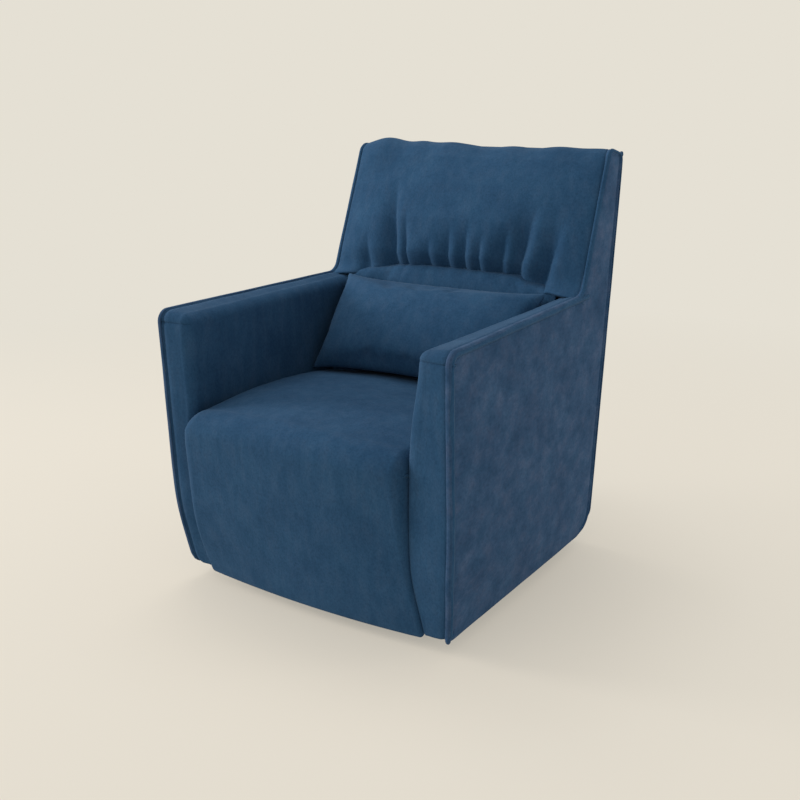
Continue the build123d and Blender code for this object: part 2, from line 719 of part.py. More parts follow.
def seat_top(y):
    """Height of the seat's crowned middle at a reach."""
    lip_y = SEAT_LIP_SETBACK - FRONT_REACH - SEAT_BULGE
    points = (
        (lip_y, SEAT_Z + SEAT_CROWN - SEAT_LIP_DROP),
        (-SEAT_PEAK_REACH, SEAT_Z + SEAT_CROWN),
        (SEAT_REAR, SEAT_Z + SEAT_CROWN - SEAT_REAR_DROP),
    )
    arc = ThreePointArc(*points)
    drop = arc.radius - sqrt(arc.radius**2 - (y - arc.arc_center.X) ** 2)
    return arc.arc_center.Y + arc.radius - drop


def pillow_foot():
    """Where the pillow's lower seam rests on the seat with its rear against the back."""
    lean = radians(PILLOW_LEAN_DEG)
    sag = PILLOW_T / 2
    radius = ((PILLOW_H / 2) ** 2 + sag**2) / (2 * sag)
    ahead = radius - sag
    middle_y = sin(lean) * PILLOW_H / 2 - cos(lean) * ahead
    middle_z = cos(lean) * PILLOW_H / 2 + sin(lean) * ahead
    y, z = 0.0, SEAT_Z
    for _ in range(6):
        front = back_y(z + middle_z) - (LOWER_CROWN + radius + PILLOW_REST_GAP) / cos(LEAN)
        y = front - middle_y
        z = seat_top(y) + PILLOW_REST_GAP
    return y, z


def pillow_section(x, height, thick, seam, foot):
    """Pillow cut at x: two arcs meeting at the lower and the upper seam."""
    lean = radians(PILLOW_LEAN_DEG)

    def spot(along, off):
        rise = PILLOW_H / 2 + along
        y = foot[0] + rise * sin(lean) - off * cos(lean)
        return (y, foot[1] + rise * cos(lean) + off * sin(lean))

    low, high = spot(seam - height / 2, 0), spot(height / 2 - seam, 0)
    edges = [
        ThreePointArc(low, spot(0, thick / 2), high),
        ThreePointArc(high, spot(0, -thick / 2), low),
    ]
    return Plane.YZ.offset(x) * make_face(edges)


def pillow_form(inset, seam):
    """Plump pillow with a sewn edge all round. Its hidden faces run straight between sections."""
    foot = pillow_foot()
    half = ARM_INNER - PILLOW_SIDE_ROOM - seam
    profile = list(reversed(PILLOW_STATIONS)) + list(PILLOW_STATIONS[1:])
    sections = []
    for i, (share, height, plump) in enumerate(profile):
        side = -1 if i < len(PILLOW_STATIONS) else 1
        thick = PILLOW_END_T + (PILLOW_T - PILLOW_END_T) * plump - 2 * inset
        sections.append(pillow_section(side * share * half, PILLOW_H * height, thick, seam, foot))
    return loft(sections, ruled=inset > 0)


def pillow_insert():
    return pillow_form(PILLOW_COVER_T + LAYER_GAP, PILLOW_SEAM + LAYER_GAP)


def pillow_cover():
    return pillow_form(0, 0) - pillow_form(PILLOW_COVER_T, PILLOW_SEAM)


SINGLE = (
    floor_glides, base_disc, lower_race_plate, lower_plate_screws, pivot_bolt, pivot_washer,
    pivot_nut, roller_cage, bearing_rollers, upper_race_plate, upper_plate_bolts, upper_plate_nuts,
    swivel_board, front_board, rear_rail, seat_rear_rail, corner_blocks, back_top_rail,
    back_mid_rail, back_low_rail, back_webbing, seat_webbing_long, seat_webbing_cross,
    seat_foam, seat_cover, lower_back_foam, lower_back_cover, upper_back_foam,
    upper_back_cover, outside_back_board, outside_back_pad, outside_back_cover, dust_cover,
    pillow_insert, pillow_cover,
)
PAIRED = (seat_side_rail, side_frame, arm_pad, arm_cover, side_pad, side_cover, back_border)


def write(name, made):
    """One STEP file for a piece or a group of like pieces."""
    solids = made if isinstance(made, list) else [made]
    export_step(Compound(children=solids), f"parts/{name}.step")


def main():
    os.makedirs("parts", exist_ok=True)
    for make in SINGLE:
        write(make.__name__, make())
    for make in PAIRED:
        right = make()
        write(make.__name__ + "_right", right)
        write(make.__name__ + "_left", mirrored(right))


main()
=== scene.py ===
import json
import math

import bmesh
import bpy
import numpy as np
from mathutils import Matrix, Vector, noise
from mathutils.geometry import delaunay_2d_cdt

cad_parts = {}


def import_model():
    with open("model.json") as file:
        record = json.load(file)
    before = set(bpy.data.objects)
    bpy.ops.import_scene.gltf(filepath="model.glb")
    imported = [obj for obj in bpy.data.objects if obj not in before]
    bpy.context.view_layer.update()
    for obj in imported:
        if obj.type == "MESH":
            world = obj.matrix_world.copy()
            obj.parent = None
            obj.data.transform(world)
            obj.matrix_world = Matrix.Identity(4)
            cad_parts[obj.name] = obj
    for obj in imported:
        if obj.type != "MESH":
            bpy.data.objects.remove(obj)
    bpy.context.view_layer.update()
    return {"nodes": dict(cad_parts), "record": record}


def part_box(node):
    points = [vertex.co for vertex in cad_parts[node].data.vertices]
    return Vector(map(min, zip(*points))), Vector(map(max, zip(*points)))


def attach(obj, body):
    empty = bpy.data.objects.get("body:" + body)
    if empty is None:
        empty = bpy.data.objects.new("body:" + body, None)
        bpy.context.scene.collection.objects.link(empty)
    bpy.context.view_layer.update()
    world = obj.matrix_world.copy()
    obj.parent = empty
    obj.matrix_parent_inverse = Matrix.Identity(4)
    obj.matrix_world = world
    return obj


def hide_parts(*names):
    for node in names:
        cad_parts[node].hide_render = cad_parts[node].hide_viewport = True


# Looks of the swivel armchair: sewn covers in a mottled blue microfibre over the frame.
# Metres, +Z up from the floor. The front faces -Y, and +X is on the right seen from there.

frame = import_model()
NODES = frame["nodes"]

# Side view of the body: reach y, rise above the bottom edge, corner radius
BODY_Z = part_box("side_cover_right")[0].z
FOOT, KNEE, ARM_FRONT, ARM_REAR, BACK_FRONT, BACK_REAR, HEEL = range(7)
CORNERS = (
    (-0.350, 0.000, 0.004),
    (-0.375, 0.140, 0.600),
    (-0.393, 0.592, 0.028),
    (0.218, 0.602, 0.034),
    (0.341, 0.920, 0.026),
    (0.417, 0.908, 0.006),
    (0.327, 0.000, 0.050),
)
ARC_STEPS = (6, 10, 18, 14, 16, 6, 18)
LINE_STEPS = (30, 90, 120, 70, 16, 170, 120)
MIN_RADIUS = 0.001

# Plan and front view of the body
HALF_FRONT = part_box("side_cover_right")[1].x
HALF_REAR = 0.344
FOOT_TUCK = 0.020
TUCK_RISE = 0.290
SMOOTHING = 0.004
FOOT_ROUND = {1: 0.0, -1: 0.009}  # extra tuck of each side's bottom corner
FOOT_ROUND_RISE = 0.022

# Covers
COVER_T = 0.003
RIPPLE = 0.0012  # unevenness of a padded face
SEAT_RIPPLE = 0.0022
UPPER_RIPPLE = 0.0018
# waves per metre and shift of the unevenness of each piece
RIPPLES = {
    "side_panel": (9, 1.0), "arm_right": (11, 5.0), "arm_left": (11, 3.0), "seat": (7, 9.0),
    "upper_back": (10, 13.0), "outside_back": (8, 21.0), "pillow": (55, 31.0), "dust": (14, 41.0),
}

# Sewn edges: a lip, a stitched groove and the shoulder of the pad behind it
LIP_H = 0.0036
LIP_MID = 0.0032
LIP_W = 0.0027
GROOVE_D = 0.0020
GROOVE_MID = 0.0095
GROOVE_W = 0.0026
SHOULDER_D = 0.0050
SHOULDER_W = 0.018
EDGE_STEPS = np.array((0, 1, 2, 3, 4, 5, 6, 7, 8, 9, 10, 11.5, 13.5, 16, 20)) / 1000

# Side panels
LIP_FADES = 3  # rounds of smoothing where the lip ends
LIP_FLARE = {1: 0.0015, -1: 0.006}  # each side's lip bent outwards
LIP_FLARE_W = 0.010
HEM_TURN = 0.0015  # bottom edge of a side, rounded and hanging a little
HEM_TURN_W = 0.003
SIDE_SAG = 0.0045
SIDE_SAG_RISE = 0.020
PANEL_RETURN = (0.008, 0.004, 0.002)  # rows of the cover turned in behind the lip
PANEL_PITCH = 0.009  # points inside a panel
PANEL_ROW_PITCH = PANEL_PITCH * 0.87
PANEL_CLEAR = PANEL_PITCH * 0.6
MERGE_GAP = 1e-7
# Nubs of folded seam where a lip ends: half sizes, shift along the side, turn
EAR_ROWS, EAR_COLS = 12, 18
EAR_SINK = 0.003
TOP_EAR = (0.0045, 0.0080, 0.0042)
TOP_EAR_SHIFT = -0.002
TOP_EAR_TURN = 0.4
FOOT_EAR = (0.0058, 0.0050, 0.0080)
FOOT_EAR_SHIFT = 0.001

# Arms
ARM_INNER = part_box("arm_cover_right")[0].x
ARM_EDGE_R = 0.022  # soft inner edge of an arm above the seat
ARM_LOW_R = 0.008  # and below it, where the seat presses
ARM_EDGE_RISES = (0.120, 0.460)
ARM_SLOPE = 0.006  # arm face lower at its inner edge
ARM_SINK = 0.003  # arm face below the outline of the body
ARM_INNER_DEPTH = 0.300  # inner face below the arm top
ARM_UNDER_BACK = 0.035  # arm top carried on under the back
ARM_FOLD = 0.002  # cover turned in behind the outer seam, across and deep
ARM_FOLD_D = 0.012
ARM_ARCS = (0, 8, 10, 40, 0)
ARM_LINES = (8, 34, 100, 150)
ARM_FACE_COLS, ARM_TURN_COLS, ARM_INNER_COLS = 13, 12, 29
INSET_COUNT = 63
INSET_SPARE = 0.010
MITRE_D = 0.0066  # seam across the front corner of an arm
MITRE_W = 0.0024
MITRE_SINK = 0.0016  # and the padding pulled in beside it
MITRE_REACH = 0.008
MITRE_STEP = 3  # place of the seam on the corner's arc
MITRE_TURN = 9  # columns of the inner edge that it crosses

# Hem and swelling of the front covers
HEM = 0.018  # cover turned under the bottom edge
HEM_R = 0.012
HEM_STEPS = 8
FRONT_SAG = 0.017  # front covers hang below the sides
FRONT_SAG_RISE = 0.130
FRONT_SAG_REACHES = (-0.345, -0.325)
ARM_SAG_W = 0.060
BELLY_RISE = 0.26  # swelling of the front at the side edges of the seat
BELLY_H = 0.24
BELLY_REACHES = (-0.37, -0.22)
SEAT_PUFF = 0.020  # the seat swells forwards at its left edge
LEFT_SWAY = 0.015  # both side edges sway to the left, and the arms' fronts follow
RIGHT_SWAY = 0.028
LEFT_SWAY_RISES = (0.30, 0.40)

# Seat: side view as reach y and rise, then its crown and its side edges
SEAT_FOOT = (-0.347, 0.000)
SEAT_WAIST = (-0.389, 0.242)
SEAT_TURN = (-0.400, 0.338)
SEAT_LIP = -0.345  # front end of the top, a little lower than its middle
SEAT_LIP_DROP = 0.015
SEAT_MID = -0.142
SEAT_REAR = 0.136
SEAT_REAR_DROP = 0.030
SEAT_TOP = 0.395
SEAT_TAIL_LEAD = 0.006  # cover turned down behind the seat
SEAT_TAIL_STEP = 0.016
SEAT_TAIL_ROWS = 5
SEAT_FRONT_STEPS, SEAT_NOSE_STEPS, SEAT_TOP_STEPS = 70, 24, 90
SEAT_HEM_END = 5  # step of the front where the hem's arc ends
SEAT_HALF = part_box("seat_cover")[1].x
SEAT_CROWN = 0.012
SEAT_BULGE = 0.018
SEAT_LOW_R = 0.012  # side edges of the seat, at the bottom and at the top
SEAT_HIGH_R = 0.036
SEAT_R_RISES = (0.050, 0.330)
SEAT_COLS, SEAT_TURN_COLS, SEAT_SIDE_COLS = 121, 14, 5
SEAT_SIDE_STEP = 0.006

# Back: leaning line from the arm up, with distances along it
LEAN_START = np.array((CORNERS[ARM_REAR][0], BODY_Z + CORNERS[ARM_REAR][1]))
LEAN = math.atan2(
    CORNERS[BACK_FRONT][0] - CORNERS[ARM_REAR][0],
    CORNERS[BACK_FRONT][1] - CORNERS[ARM_REAR][1],
)
BACK_LEAD = 0.05  # start of the path on the arm
BACK_ARCS = (0, 40, 40, 0)
BACK_LINES = (40, 200, 60)
SEAM_RUN = 0.031  # gathered seam above the arms, at its highest
SEAM_HALF = 0.33  # half the back's width there
SEAM_PLACES = (
    -0.34, -0.30, -0.27, -0.245, -0.207, -0.157, -0.062, 0.052, 0.107, 0.173, 0.208, 0.255, 0.30,
)
SEAM_RUNS = (
    -0.016, -0.012, -0.002, 0.007, 0.014, 0.025, 0.033, 0.030, 0.029, 0.026, 0.010, -0.004, -0.018,
)
SEAM_BLUR = 0.012  # the arch is rounded over this much to each side
SEAM_BLUR_STEPS = 9

# Upper back cushion
UPPER_COLS, UPPER_ROWS = 301, 99
UPPER_STEPS = np.array((0, 1, 2, 3.5, 5, 7, 9, 12, 15, 19, 23, 28, 33, 39, 45, 52, 60)) / 1000
UPPER_TURN = ((0.030, -0.012), (0.018, -0.006), (0.008, -0.002))  # back and down, behind the seam
CROWN = ((0.0, 0.1, 0.37, 0.65, 0.89, 1.0), (0.014, 0.036, 0.044, 0.037, 0.022, 0.005))
CROWN_POWER = 2.4  # fullness across
TUCK_D = 0.024  # cushion drawn in at the seam, and at the ends of the seam
TUCK_END_D = 0.004
TUCK_W = 0.009
# Pleats: place on the seam, depth, width of the long flank, length
PLEATS = (
    (-0.240, 0.014, 0.026, 0.120),
    (-0.166, 0.030, 0.032, 0.250),
    (-0.130, 0.024, 0.022, 0.150),
    (-0.060, 0.014, 0.022, 0.070),
    (-0.009, 0.019, 0.024, 0.115),
    (0.035, 0.020, 0.024, 0.120),
    (0.074, 0.017, 0.022, 0.095),
    (0.127, 0.022, 0.028, 0.125),
    (0.171, 0.032, 0.034, 0.200),
    (0.235, 0.032, 0.038, 0.205),
)
PLEAT_SLANT = 0.046  # sideways drift of a pleat on its way up
PLEAT_FAN = 0.92  # and how much more it drifts outwards away from the middle
PLEAT_STEEP = 0.42  # short flank as a share of the long one
PLEAT_ROUND = 1.6
PLEAT_FULL = 0.2  # share of its length at full depth
PLEAT_ENDS = (0.25, 0.30)  # pleats fade out towards the sides
# place, height and width of the swellings along the top edge
TOP_SWELLINGS = (
    (-0.270, 0.013, 0.050), (-0.165, 0.004, 0.030), (-0.080, 0.002, 0.030),
    (0.030, -0.009, 0.060), (0.150, -0.008, 0.050), (0.270, -0.004, 0.050),
)
CREST_SHARES = (0.7, 1.0)  # they begin below the top and fade out before the rear edge
CREST_FADE = 0.04

# Lower back pad
LOWER_COLS = 161
LOWER_ROWS, LOWER_END_ROWS = 70, 29
LOWER_END_FROM = 0.9  # finer rows from this share of the height
LOWER_FOOT = 0.080  # pad carried on below the seat's top
LOWER_LAP = 0.004  # and past the seam
LOWER_CROWN = 0.010
LOWER_TUCK_D = 0.014  # pad drawn in at the gathered seam
LOWER_TUCK_W = 0.006
LOWER_TURN = ((0.012, 0.003), (0.030, 0.004), (0.055, 0.002))  # back and up, under the upper cushion
LOWER_END_RISE = 0.008  # swollen where it meets the ends of the upper cushion
LOWER_END_PLACES = (0.16, 0.25)
LOWER_END_H = 0.04
LOWER_PUCKER = 0.12  # pleats that carry on below the seam, as shares of depth and length
LOWER_PUCKER_SHORTER = 3

# Outside back
REAR_PUFF = 0.004  # padding of the rear panel
REAR_COLS = 120
REAR_ARCS = (0, 18, 0)
REAR_LINES = (220, 12)
REAR_LAP = 0.001  # panel ends this far behind the dust cloth
UNDER_TUCK = 0.012  # narrower where it turns under

# Lumbar pillow
PILLOW_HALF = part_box("pillow_cover")[1].x
PILLOW_H = 0.256
PILLOW_T = 0.128
PILLOW_START_T = 0.112  # before it is blown up
PILLOW_PITCH = 0.008
PILLOW_LEAN = math.radians(37)
PILLOW_PULL = (0.030, 0.018)  # its sides drawn in between the corners, as shares
PILLOW_CROWN = (2.6, 2.2)  # fullness across and up
PILLOW_PLUMP = 0.62
PILLOW_SWELL_CAP = 0.012
PILLOW_SINK = 0.006  # it settles on the seat
PILLOW_SAG_FROM = 0.4  # its lower part settles on the seat's crown
PUCKER_H = 0.0016
PUCKER_REACH = 0.016
PUCKER_FLAT = 0.2  # puckers run across the edge
CLOTH = {
    "quality": 6, "mass": 0.3, "tension_stiffness": 20, "compression_stiffness": 20,
    "shear_stiffness": 8, "bending_stiffness": 3, "use_pressure": True,
    "uniform_pressure_force": 4.0,
}
CLOTH_FRAMES = 24
LEAST_MOVE = 1e-9

# Cloth under the frame
DUST_T = 0.0012
DUST_SAG = 0.004
DUST_RIPPLE = 0.001
DUST_OVERLAP = 0.010  # cloth behind the edge of the swivel plate
DUST_ROWS = 40
DUST_STEPS = 30

# Camera, as the photograph was taken
CAMERA_AT = (1.232, -1.869, 1.0416)
CAMERA_AZIMUTH = math.radians(33.414)
CAMERA_ELEVATION = math.radians(16.074)
FOCAL_PIXELS = 1001.634
IMAGE_PIXELS = 800
SENSOR = 36.0

# Studio
SKY_FROM = (-0.80, -0.35, 0.45)
SKY_DIM = 0.30
SKY_BRIGHT = 1.00
AMBIENT = (1.0, 0.97, 0.92, 1.0)
WARM_WHITE = (1.0, 0.97, 0.93)
# name, place, aim, size, power
LIGHTS = (
    ("top_light", (-1.0, 0.5, 2.8), (0, 0, 0.4), 1.4, 19),
    ("left_light", (-4.2, -1.8, 1.5), (0, 0, 0.6), 1.6, 140),
    ("right_light", (3.2, 1.6, 1.0), (0, 0, 0.4), 1.6, 30),
)
BACKDROP = (0.783, 0.745, 0.659, 1.0)
FLOOR_HALF = 30.0
FLOOR_COLOUR = (0.700, 0.640, 0.552, 1.0)
FLOOR_FADE = 3.4  # the floor becomes the backdrop at this distance
# share of the backdrop's own colour in the floor, by part of that distance
FLOOR_SHARES = ((0.10, 0.46), (0.24, 0.70), (0.38, 0.74), (1.00, 1.00))


# Paths and surfaces

def meeting(before, after):
    """Where two lines cross, each given by a point and a direction."""
    (p, a), (q, b) = before, after
    reach = ((q[0] - p[0]) * b[1] - (q[1] - p[1]) * b[0]) / (a[0] * b[1] - a[1] * b[0])
    return p + a * reach


def draw_in(points, insets, closed):
    """Corners after each edge has moved to its right-hand side by its inset."""
    points = np.asarray(points, float)
    lines = []
    for a, b, inset in zip(points, np.roll(points, -1, 0), insets):
        along = (b - a) / np.linalg.norm(b - a)
        lines.append((a + inset * np.array((along[1], -along[0])), along))
    moved = [meeting(lines[i - 1], lines[i]) for i in range(0 if closed else 1, len(lines))]
    if not closed:
        start, along = lines[-1]
        moved = [lines[0][0], *moved, start + along * np.linalg.norm(points[-1] - points[-2])]
    return np.array(moved)


def corner_arc(before, corner, after, radius, steps):
    """Points of the arc that rounds a corner."""
    a = (corner - before) / np.linalg.norm(corner - before)
    b = (after - corner) / np.linalg.norm(after - corner)
    side = 1.0 if a[0] * b[1] - a[1] * b[0] > 0 else -1.0
    turn = math.acos(max(-1.0, min(1.0, float(a @ b))))
    start = corner - a * radius * math.tan(turn / 2)
    centre = start + side * radius * np.array((-a[1], a[0]))
    spoke = start - centre
    points = []
    for k in range(steps + 1):
        angle = side * turn * k / steps
        c, s = math.cos(angle), math.sin(angle)
        points.append(centre + (c * spoke[0] - s * spoke[1], s * spoke[0] + c * spoke[1]))
    return points


def rounded(points, radii, arc_steps, line_steps, closed):
    """A cornered path with its corners rounded, always with the same number of points."""
    count = len(points)
    pieces = []
    for i in range(count):
        if not closed and i in (0, count - 1):
            pieces.append([points[i]])
            continue
        before, after = points[i - 1], points[(i + 1) % count]
        pieces.append(corner_arc(before, points[i], after, radii[i], arc_steps[i]))
    path = []
    for piece, following, steps in zip(pieces, pieces[1:] + pieces[:1], line_steps):
        start, end = piece[-1], following[0]
        path += piece + [start + (end - start) * k / steps for k in range(1, steps)]
    return np.array(path if closed else path + pieces[-1])


def arc_start(arc_steps, line_steps, i):
    """Index of the first point of a corner's arc on an open rounded path."""
    return 1 + sum(arc + 1 for arc in arc_steps[1:i]) + sum(line - 1 for line in line_steps[:i])


def arc_through(a, b, c, steps):
    """Points of the arc from a through b to c."""
    a, b, c = (complex(*p) for p in (a, b, c))
    w = (c - a) / (b - a)
    centre = a - (a - b) * (w - abs(w) ** 2) / (2j * w.imag)
    angles = np.unwrap(np.angle(np.array((a, b, c)) - centre))
    spots = centre + abs(a - centre) * np.exp(1j * np.linspace(angles[0], angles[2], steps + 1))
    return np.stack((spots.real, spots.imag), 1)


def path_lengths(path):
    """Distance along a path to each of its points."""
    return np.concatenate(([0], np.cumsum(np.linalg.norm(np.diff(path, axis=0), axis=1))))


def path_normals(path):
    """Outward normals of a path that has the body on its right."""
    along = np.gradient(path, axis=0)
    along /= np.linalg.norm(along, axis=1)[:, None]
    return np.stack((-along[:, 1], along[:, 0]), 1)


def body_corner(i):
    """A corner of the side view in the frame's own heights."""
    return np.array((CORNERS[i][0], BODY_Z + CORNERS[i][1]))


def outline(inset):
    """Closed side view of the body, drawn in by inset."""
    points = [body_corner(i) for i in range(len(CORNERS))]
    moved = draw_in(points, [inset] * len(points), True)
    radii = [max(r - inset, MIN_RADIUS) for _, _, r in CORNERS]
    radii[ARM_REAR] = CORNERS[ARM_REAR][2] + inset
    return rounded(moved, radii, ARC_STEPS, LINE_STEPS, True)


def smooth_step(x, low, high):
    """0 below low, 1 above high, and a smooth rise between."""
    t = np.clip((x - low) / (high - low), 0, 1)
    return t * t * (3 - 2 * t)


def side_x(y, z, side=1):
    """Half the body's width at a place of one of its side faces."""
    front, rear = CORNERS[ARM_FRONT][0], CORNERS[BACK_REAR][0]
    plan = HALF_FRONT + (HALF_REAR - HALF_FRONT) * (y - front) / (rear - front)
    low = np.clip(1 - (z - BODY_Z) / TUCK_RISE, 0, None)
    last = np.clip(1 - (z - BODY_Z) / FOOT_ROUND_RISE, 0, None)
    view = HALF_FRONT - FOOT_TUCK * low**2 - FOOT_ROUND[side] * last**2
    nearer = np.clip(0.5 + 0.5 * (view - plan) / SMOOTHING, 0, 1)
    return view + (plan - view) * nearer - SMOOTHING * nearer * (1 - nearer)


def front_sag(points):
    """How far each point of the front covers hangs: all across the seat, fading out over the arms."""
    inner = np.clip((HALF_FRONT - FOOT_TUCK - np.abs(points[..., 0])) / ARM_SAG_W, 0, 1)
    low = 1 - smooth_step(points[..., 2] - BODY_Z, 0.0, FRONT_SAG_RISE)
    front = 1 - smooth_step(points[..., 1], *FRONT_SAG_REACHES)
    return FRONT_SAG * inner * low * front


def front_belly(points):
    """Share of the swelling of the front: most at mid-height and at the side edges of the seat."""
    rise = points[..., 2] - BODY_Z
    belly = np.exp(-(((rise - BELLY_RISE) / BELLY_H) ** 4))
    sideways = np.clip(np.abs(points[..., 0]) / ARM_INNER, 0, 1) ** 2
    return belly * sideways * (1 - smooth_step(points[..., 1], *BELLY_REACHES))


def front_sway(points):
    """How far each point near the side edges of the seat's front is pushed to the left."""
    x = points[..., 0]
    under_top = 1 - smooth_step(points[..., 2] - BODY_Z, *LEFT_SWAY_RISES)
    share = np.where(x < 0, LEFT_SWAY * under_top, RIGHT_SWAY)
    over_arm = 1 - smooth_step(np.abs(x), ARM_INNER, HALF_FRONT - FOOT_TUCK)
    return share * over_arm * front_belly(points)


def lip(e):
    """Height of a sewn edge at a distance from its seam."""
    raised = LIP_H * np.exp(-(((e - LIP_MID) / LIP_W) ** 2))
    groove = GROOVE_D * np.exp(-(((e - GROOVE_MID) / GROOVE_W) ** 2))
    return raised - groove - SHOULDER_D * np.exp(-e / SHOULDER_W)


def sewn_columns(count):
    """Columns across a panel with two sewn sides: side and distance from its seam, or 0 and a share."""
    edge = EDGE_STEPS[:-1]
    middle = np.linspace(-1, 1, count)
    return [(-1, e) for e in edge] + [(0, t) for t in middle] + [(1, e) for e in edge[::-1]]


def column_x(side, value, half):
    """Place across of such a column on a panel of a given half width."""
    return side * (half - value) if side else value * (half - EDGE_STEPS[-1])


def turned(edge, turns):
    """Rows of cover turned away from its edge, each by a reach and a rise."""
    return np.concatenate([edge + (0, deep, rise) for deep, rise in turns])


def ripple(points, scale, seed):
    """Slow, fixed unevenness, about -1 to 1, at each point."""
    flat = np.asarray(points, float).reshape(-1, 3)
    shift = Vector((seed, 2 * seed, 3 * seed))
    values = [noise.noise(Vector(p) * scale + shift) for p in flat]
    return np.array(values).reshape(np.shape(points)[:-1])


# Meshes

def grid_faces(rows, cols, first=0, round_cols=False):
    """Quads over a grid of points, closed across the columns if round_cols."""
    index = first + np.arange(rows * cols).reshape(rows, cols)
    if round_cols:
        index = np.concatenate((index, index[:, :1]), 1)
    quads = np.stack((index[:-1, :-1], index[1:, :-1], index[1:, 1:], index[:-1, 1:]), -1)
    return quads.reshape(-1, 4).tolist()


def flipped(faces):
    return [face[::-1] for face in faces]


def mesh_object(name, points, faces, material):
    """A smooth-shaded mesh object."""
    mesh = bpy.data.meshes.new(name)
    mesh.from_pydata(np.asarray(points, float).reshape(-1, 3).tolist(), [], faces)
    mesh.polygons.foreach_set("use_smooth", [True] * len(mesh.polygons))
    mesh.materials.append(material)
    mesh.update()
    obj = bpy.data.objects.new(name, mesh)
    bpy.context.scene.collection.objects.link(obj)
    return obj


def apply_modifiers(obj):
    """The evaluated mesh becomes the object's own."""
    depsgraph = bpy.context.evaluated_depsgraph_get()
    mesh = bpy.data.meshes.new_from_object(obj.evaluated_get(depsgraph))
    obj.modifiers.clear()
    obj.data = mesh


def thicken(obj, thickness, offset):
    """A sheet gets its thickness: inwards with an offset of -1, to both sides with 0."""
    solid = obj.modifiers.new("thickness", "SOLIDIFY")
    solid.thickness = thickness
    solid.offset = offset
    apply_modifiers(obj)


def dress(obj, body, nodes):
    """Hangs a padded piece on its body and hides the parts of the frame that it stands for."""
    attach(obj, body)
    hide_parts(*nodes)


def cover(name, points, nodes, inside_out=False):
    """A padded cover of the body in blue over a grid of points."""
    faces = grid_faces(*points.shape[:2])
    obj = mesh_object(name, points, flipped(faces) if inside_out else faces, BLUE)
    thicken(obj, COVER_T, -1)
    dress(obj, "chair", nodes)


# Materials

def fill_inputs(tree, node, inputs):
    """Sets the inputs of a node to numbers and colours, or links them to sockets."""
    for key, value in inputs.items():
        if isinstance(value, bpy.types.NodeSocket):
            tree.links.new(value, node.inputs[key])
        else:
            node.inputs[key].default_value = value


def add_node(tree, kind, inputs, **settings):
    """A shader node with its settings and inputs."""
    node = tree.nodes.new("ShaderNode" + kind)
    for name, value in settings.items():
        setattr(node, name, value)
    fill_inputs(tree, node, inputs)
    return node


def new_material(name):
    material = bpy.data.materials.new(name)
    material.use_nodes = True
    return material, material.node_tree


def surface(tree, inputs):
    """Fills the inputs of a material's shader."""
    fill_inputs(tree, tree.nodes["Principled BSDF"], inputs)


def object_place(tree, stretch=(1, 1, 1)):
    """Object coordinates, stretched along the axes."""
    place = add_node(tree, "TexCoord", {}).outputs["Object"]
    return add_node(tree, "Mapping", {"Vector": place, "Scale": stretch}).outputs["Vector"]


def coat(material, colour, marks, relief, values):
    """Gives a material its colour, its relief after a pattern and its other values."""
    tree = material.node_tree
    surface(tree, {"Base Color": colour, "Normal": add_bump(tree, marks, *relief), **values})
    return material


def add_noise(tree, scale, detail, rough, stretch=(1, 1, 1)):
    inputs = {"Scale": scale, "Detail": detail, "Roughness": rough}
    return add_node(tree, "TexNoise", {"Vector": object_place(tree, stretch), **inputs}).outputs["Fac"]


def add_ramp(tree, fac, stops):
    """A colour for each value of fac, between stops of place and colour."""
    node = add_node(tree, "ValToRGB", {"Fac": fac})
    ramp = node.color_ramp
    while len(ramp.elements) < len(stops):
        ramp.elements.new(0.5)
    for element, (place, colour) in zip(ramp.elements, stops):
        element.position = place
        element.color = (*colour, 1.0)
    return node.outputs["Color"]


def shaded(tree, share, colour, marks, stops):
    """A colour multiplied to a share by the tones of a pattern."""
    inputs = {"Factor": share, 6: colour, 7: add_ramp(tree, marks, stops)}
    return add_node(tree, "Mix", inputs, data_type="RGBA", blend_type="MULTIPLY").outputs[2]


def add_bump(tree, height, strength, distance):
    inputs = {"Height": height, "Strength": strength, "Distance": distance}
    return add_node(tree, "Bump", inputs).outputs["Normal"]


def grey(level):
    return (level, level, level)


def darker(colour, share):
    return [c * share for c in colour]


def mottled(stops, share):
    """Ramp stops with their colours moved away from white by a share."""
    return [(place, [1 + (c - 1) * share for c in colour]) for place, colour in stops]


# Brushed nap: lighter and darker streaks, clouds and grain, as multiples of the blue
NAP_STREAKS = ((0.34, (0.837, 0.915, 0.933)), (0.50, grey(1)), (0.66, (1.256, 1.085, 1.044)))
NAP_CLOUDS = ((0.30, (0.86, 0.89, 0.91)), (0.50, grey(1)), (0.70, (1.16, 1.12, 1.09)))
NAP_GRAIN = ((0.30, (0.80, 0.81, 0.82)), (0.50, grey(1)), (0.70, (1.16, 1.15, 1.14)))
GRAIN_STRETCH = 0.7


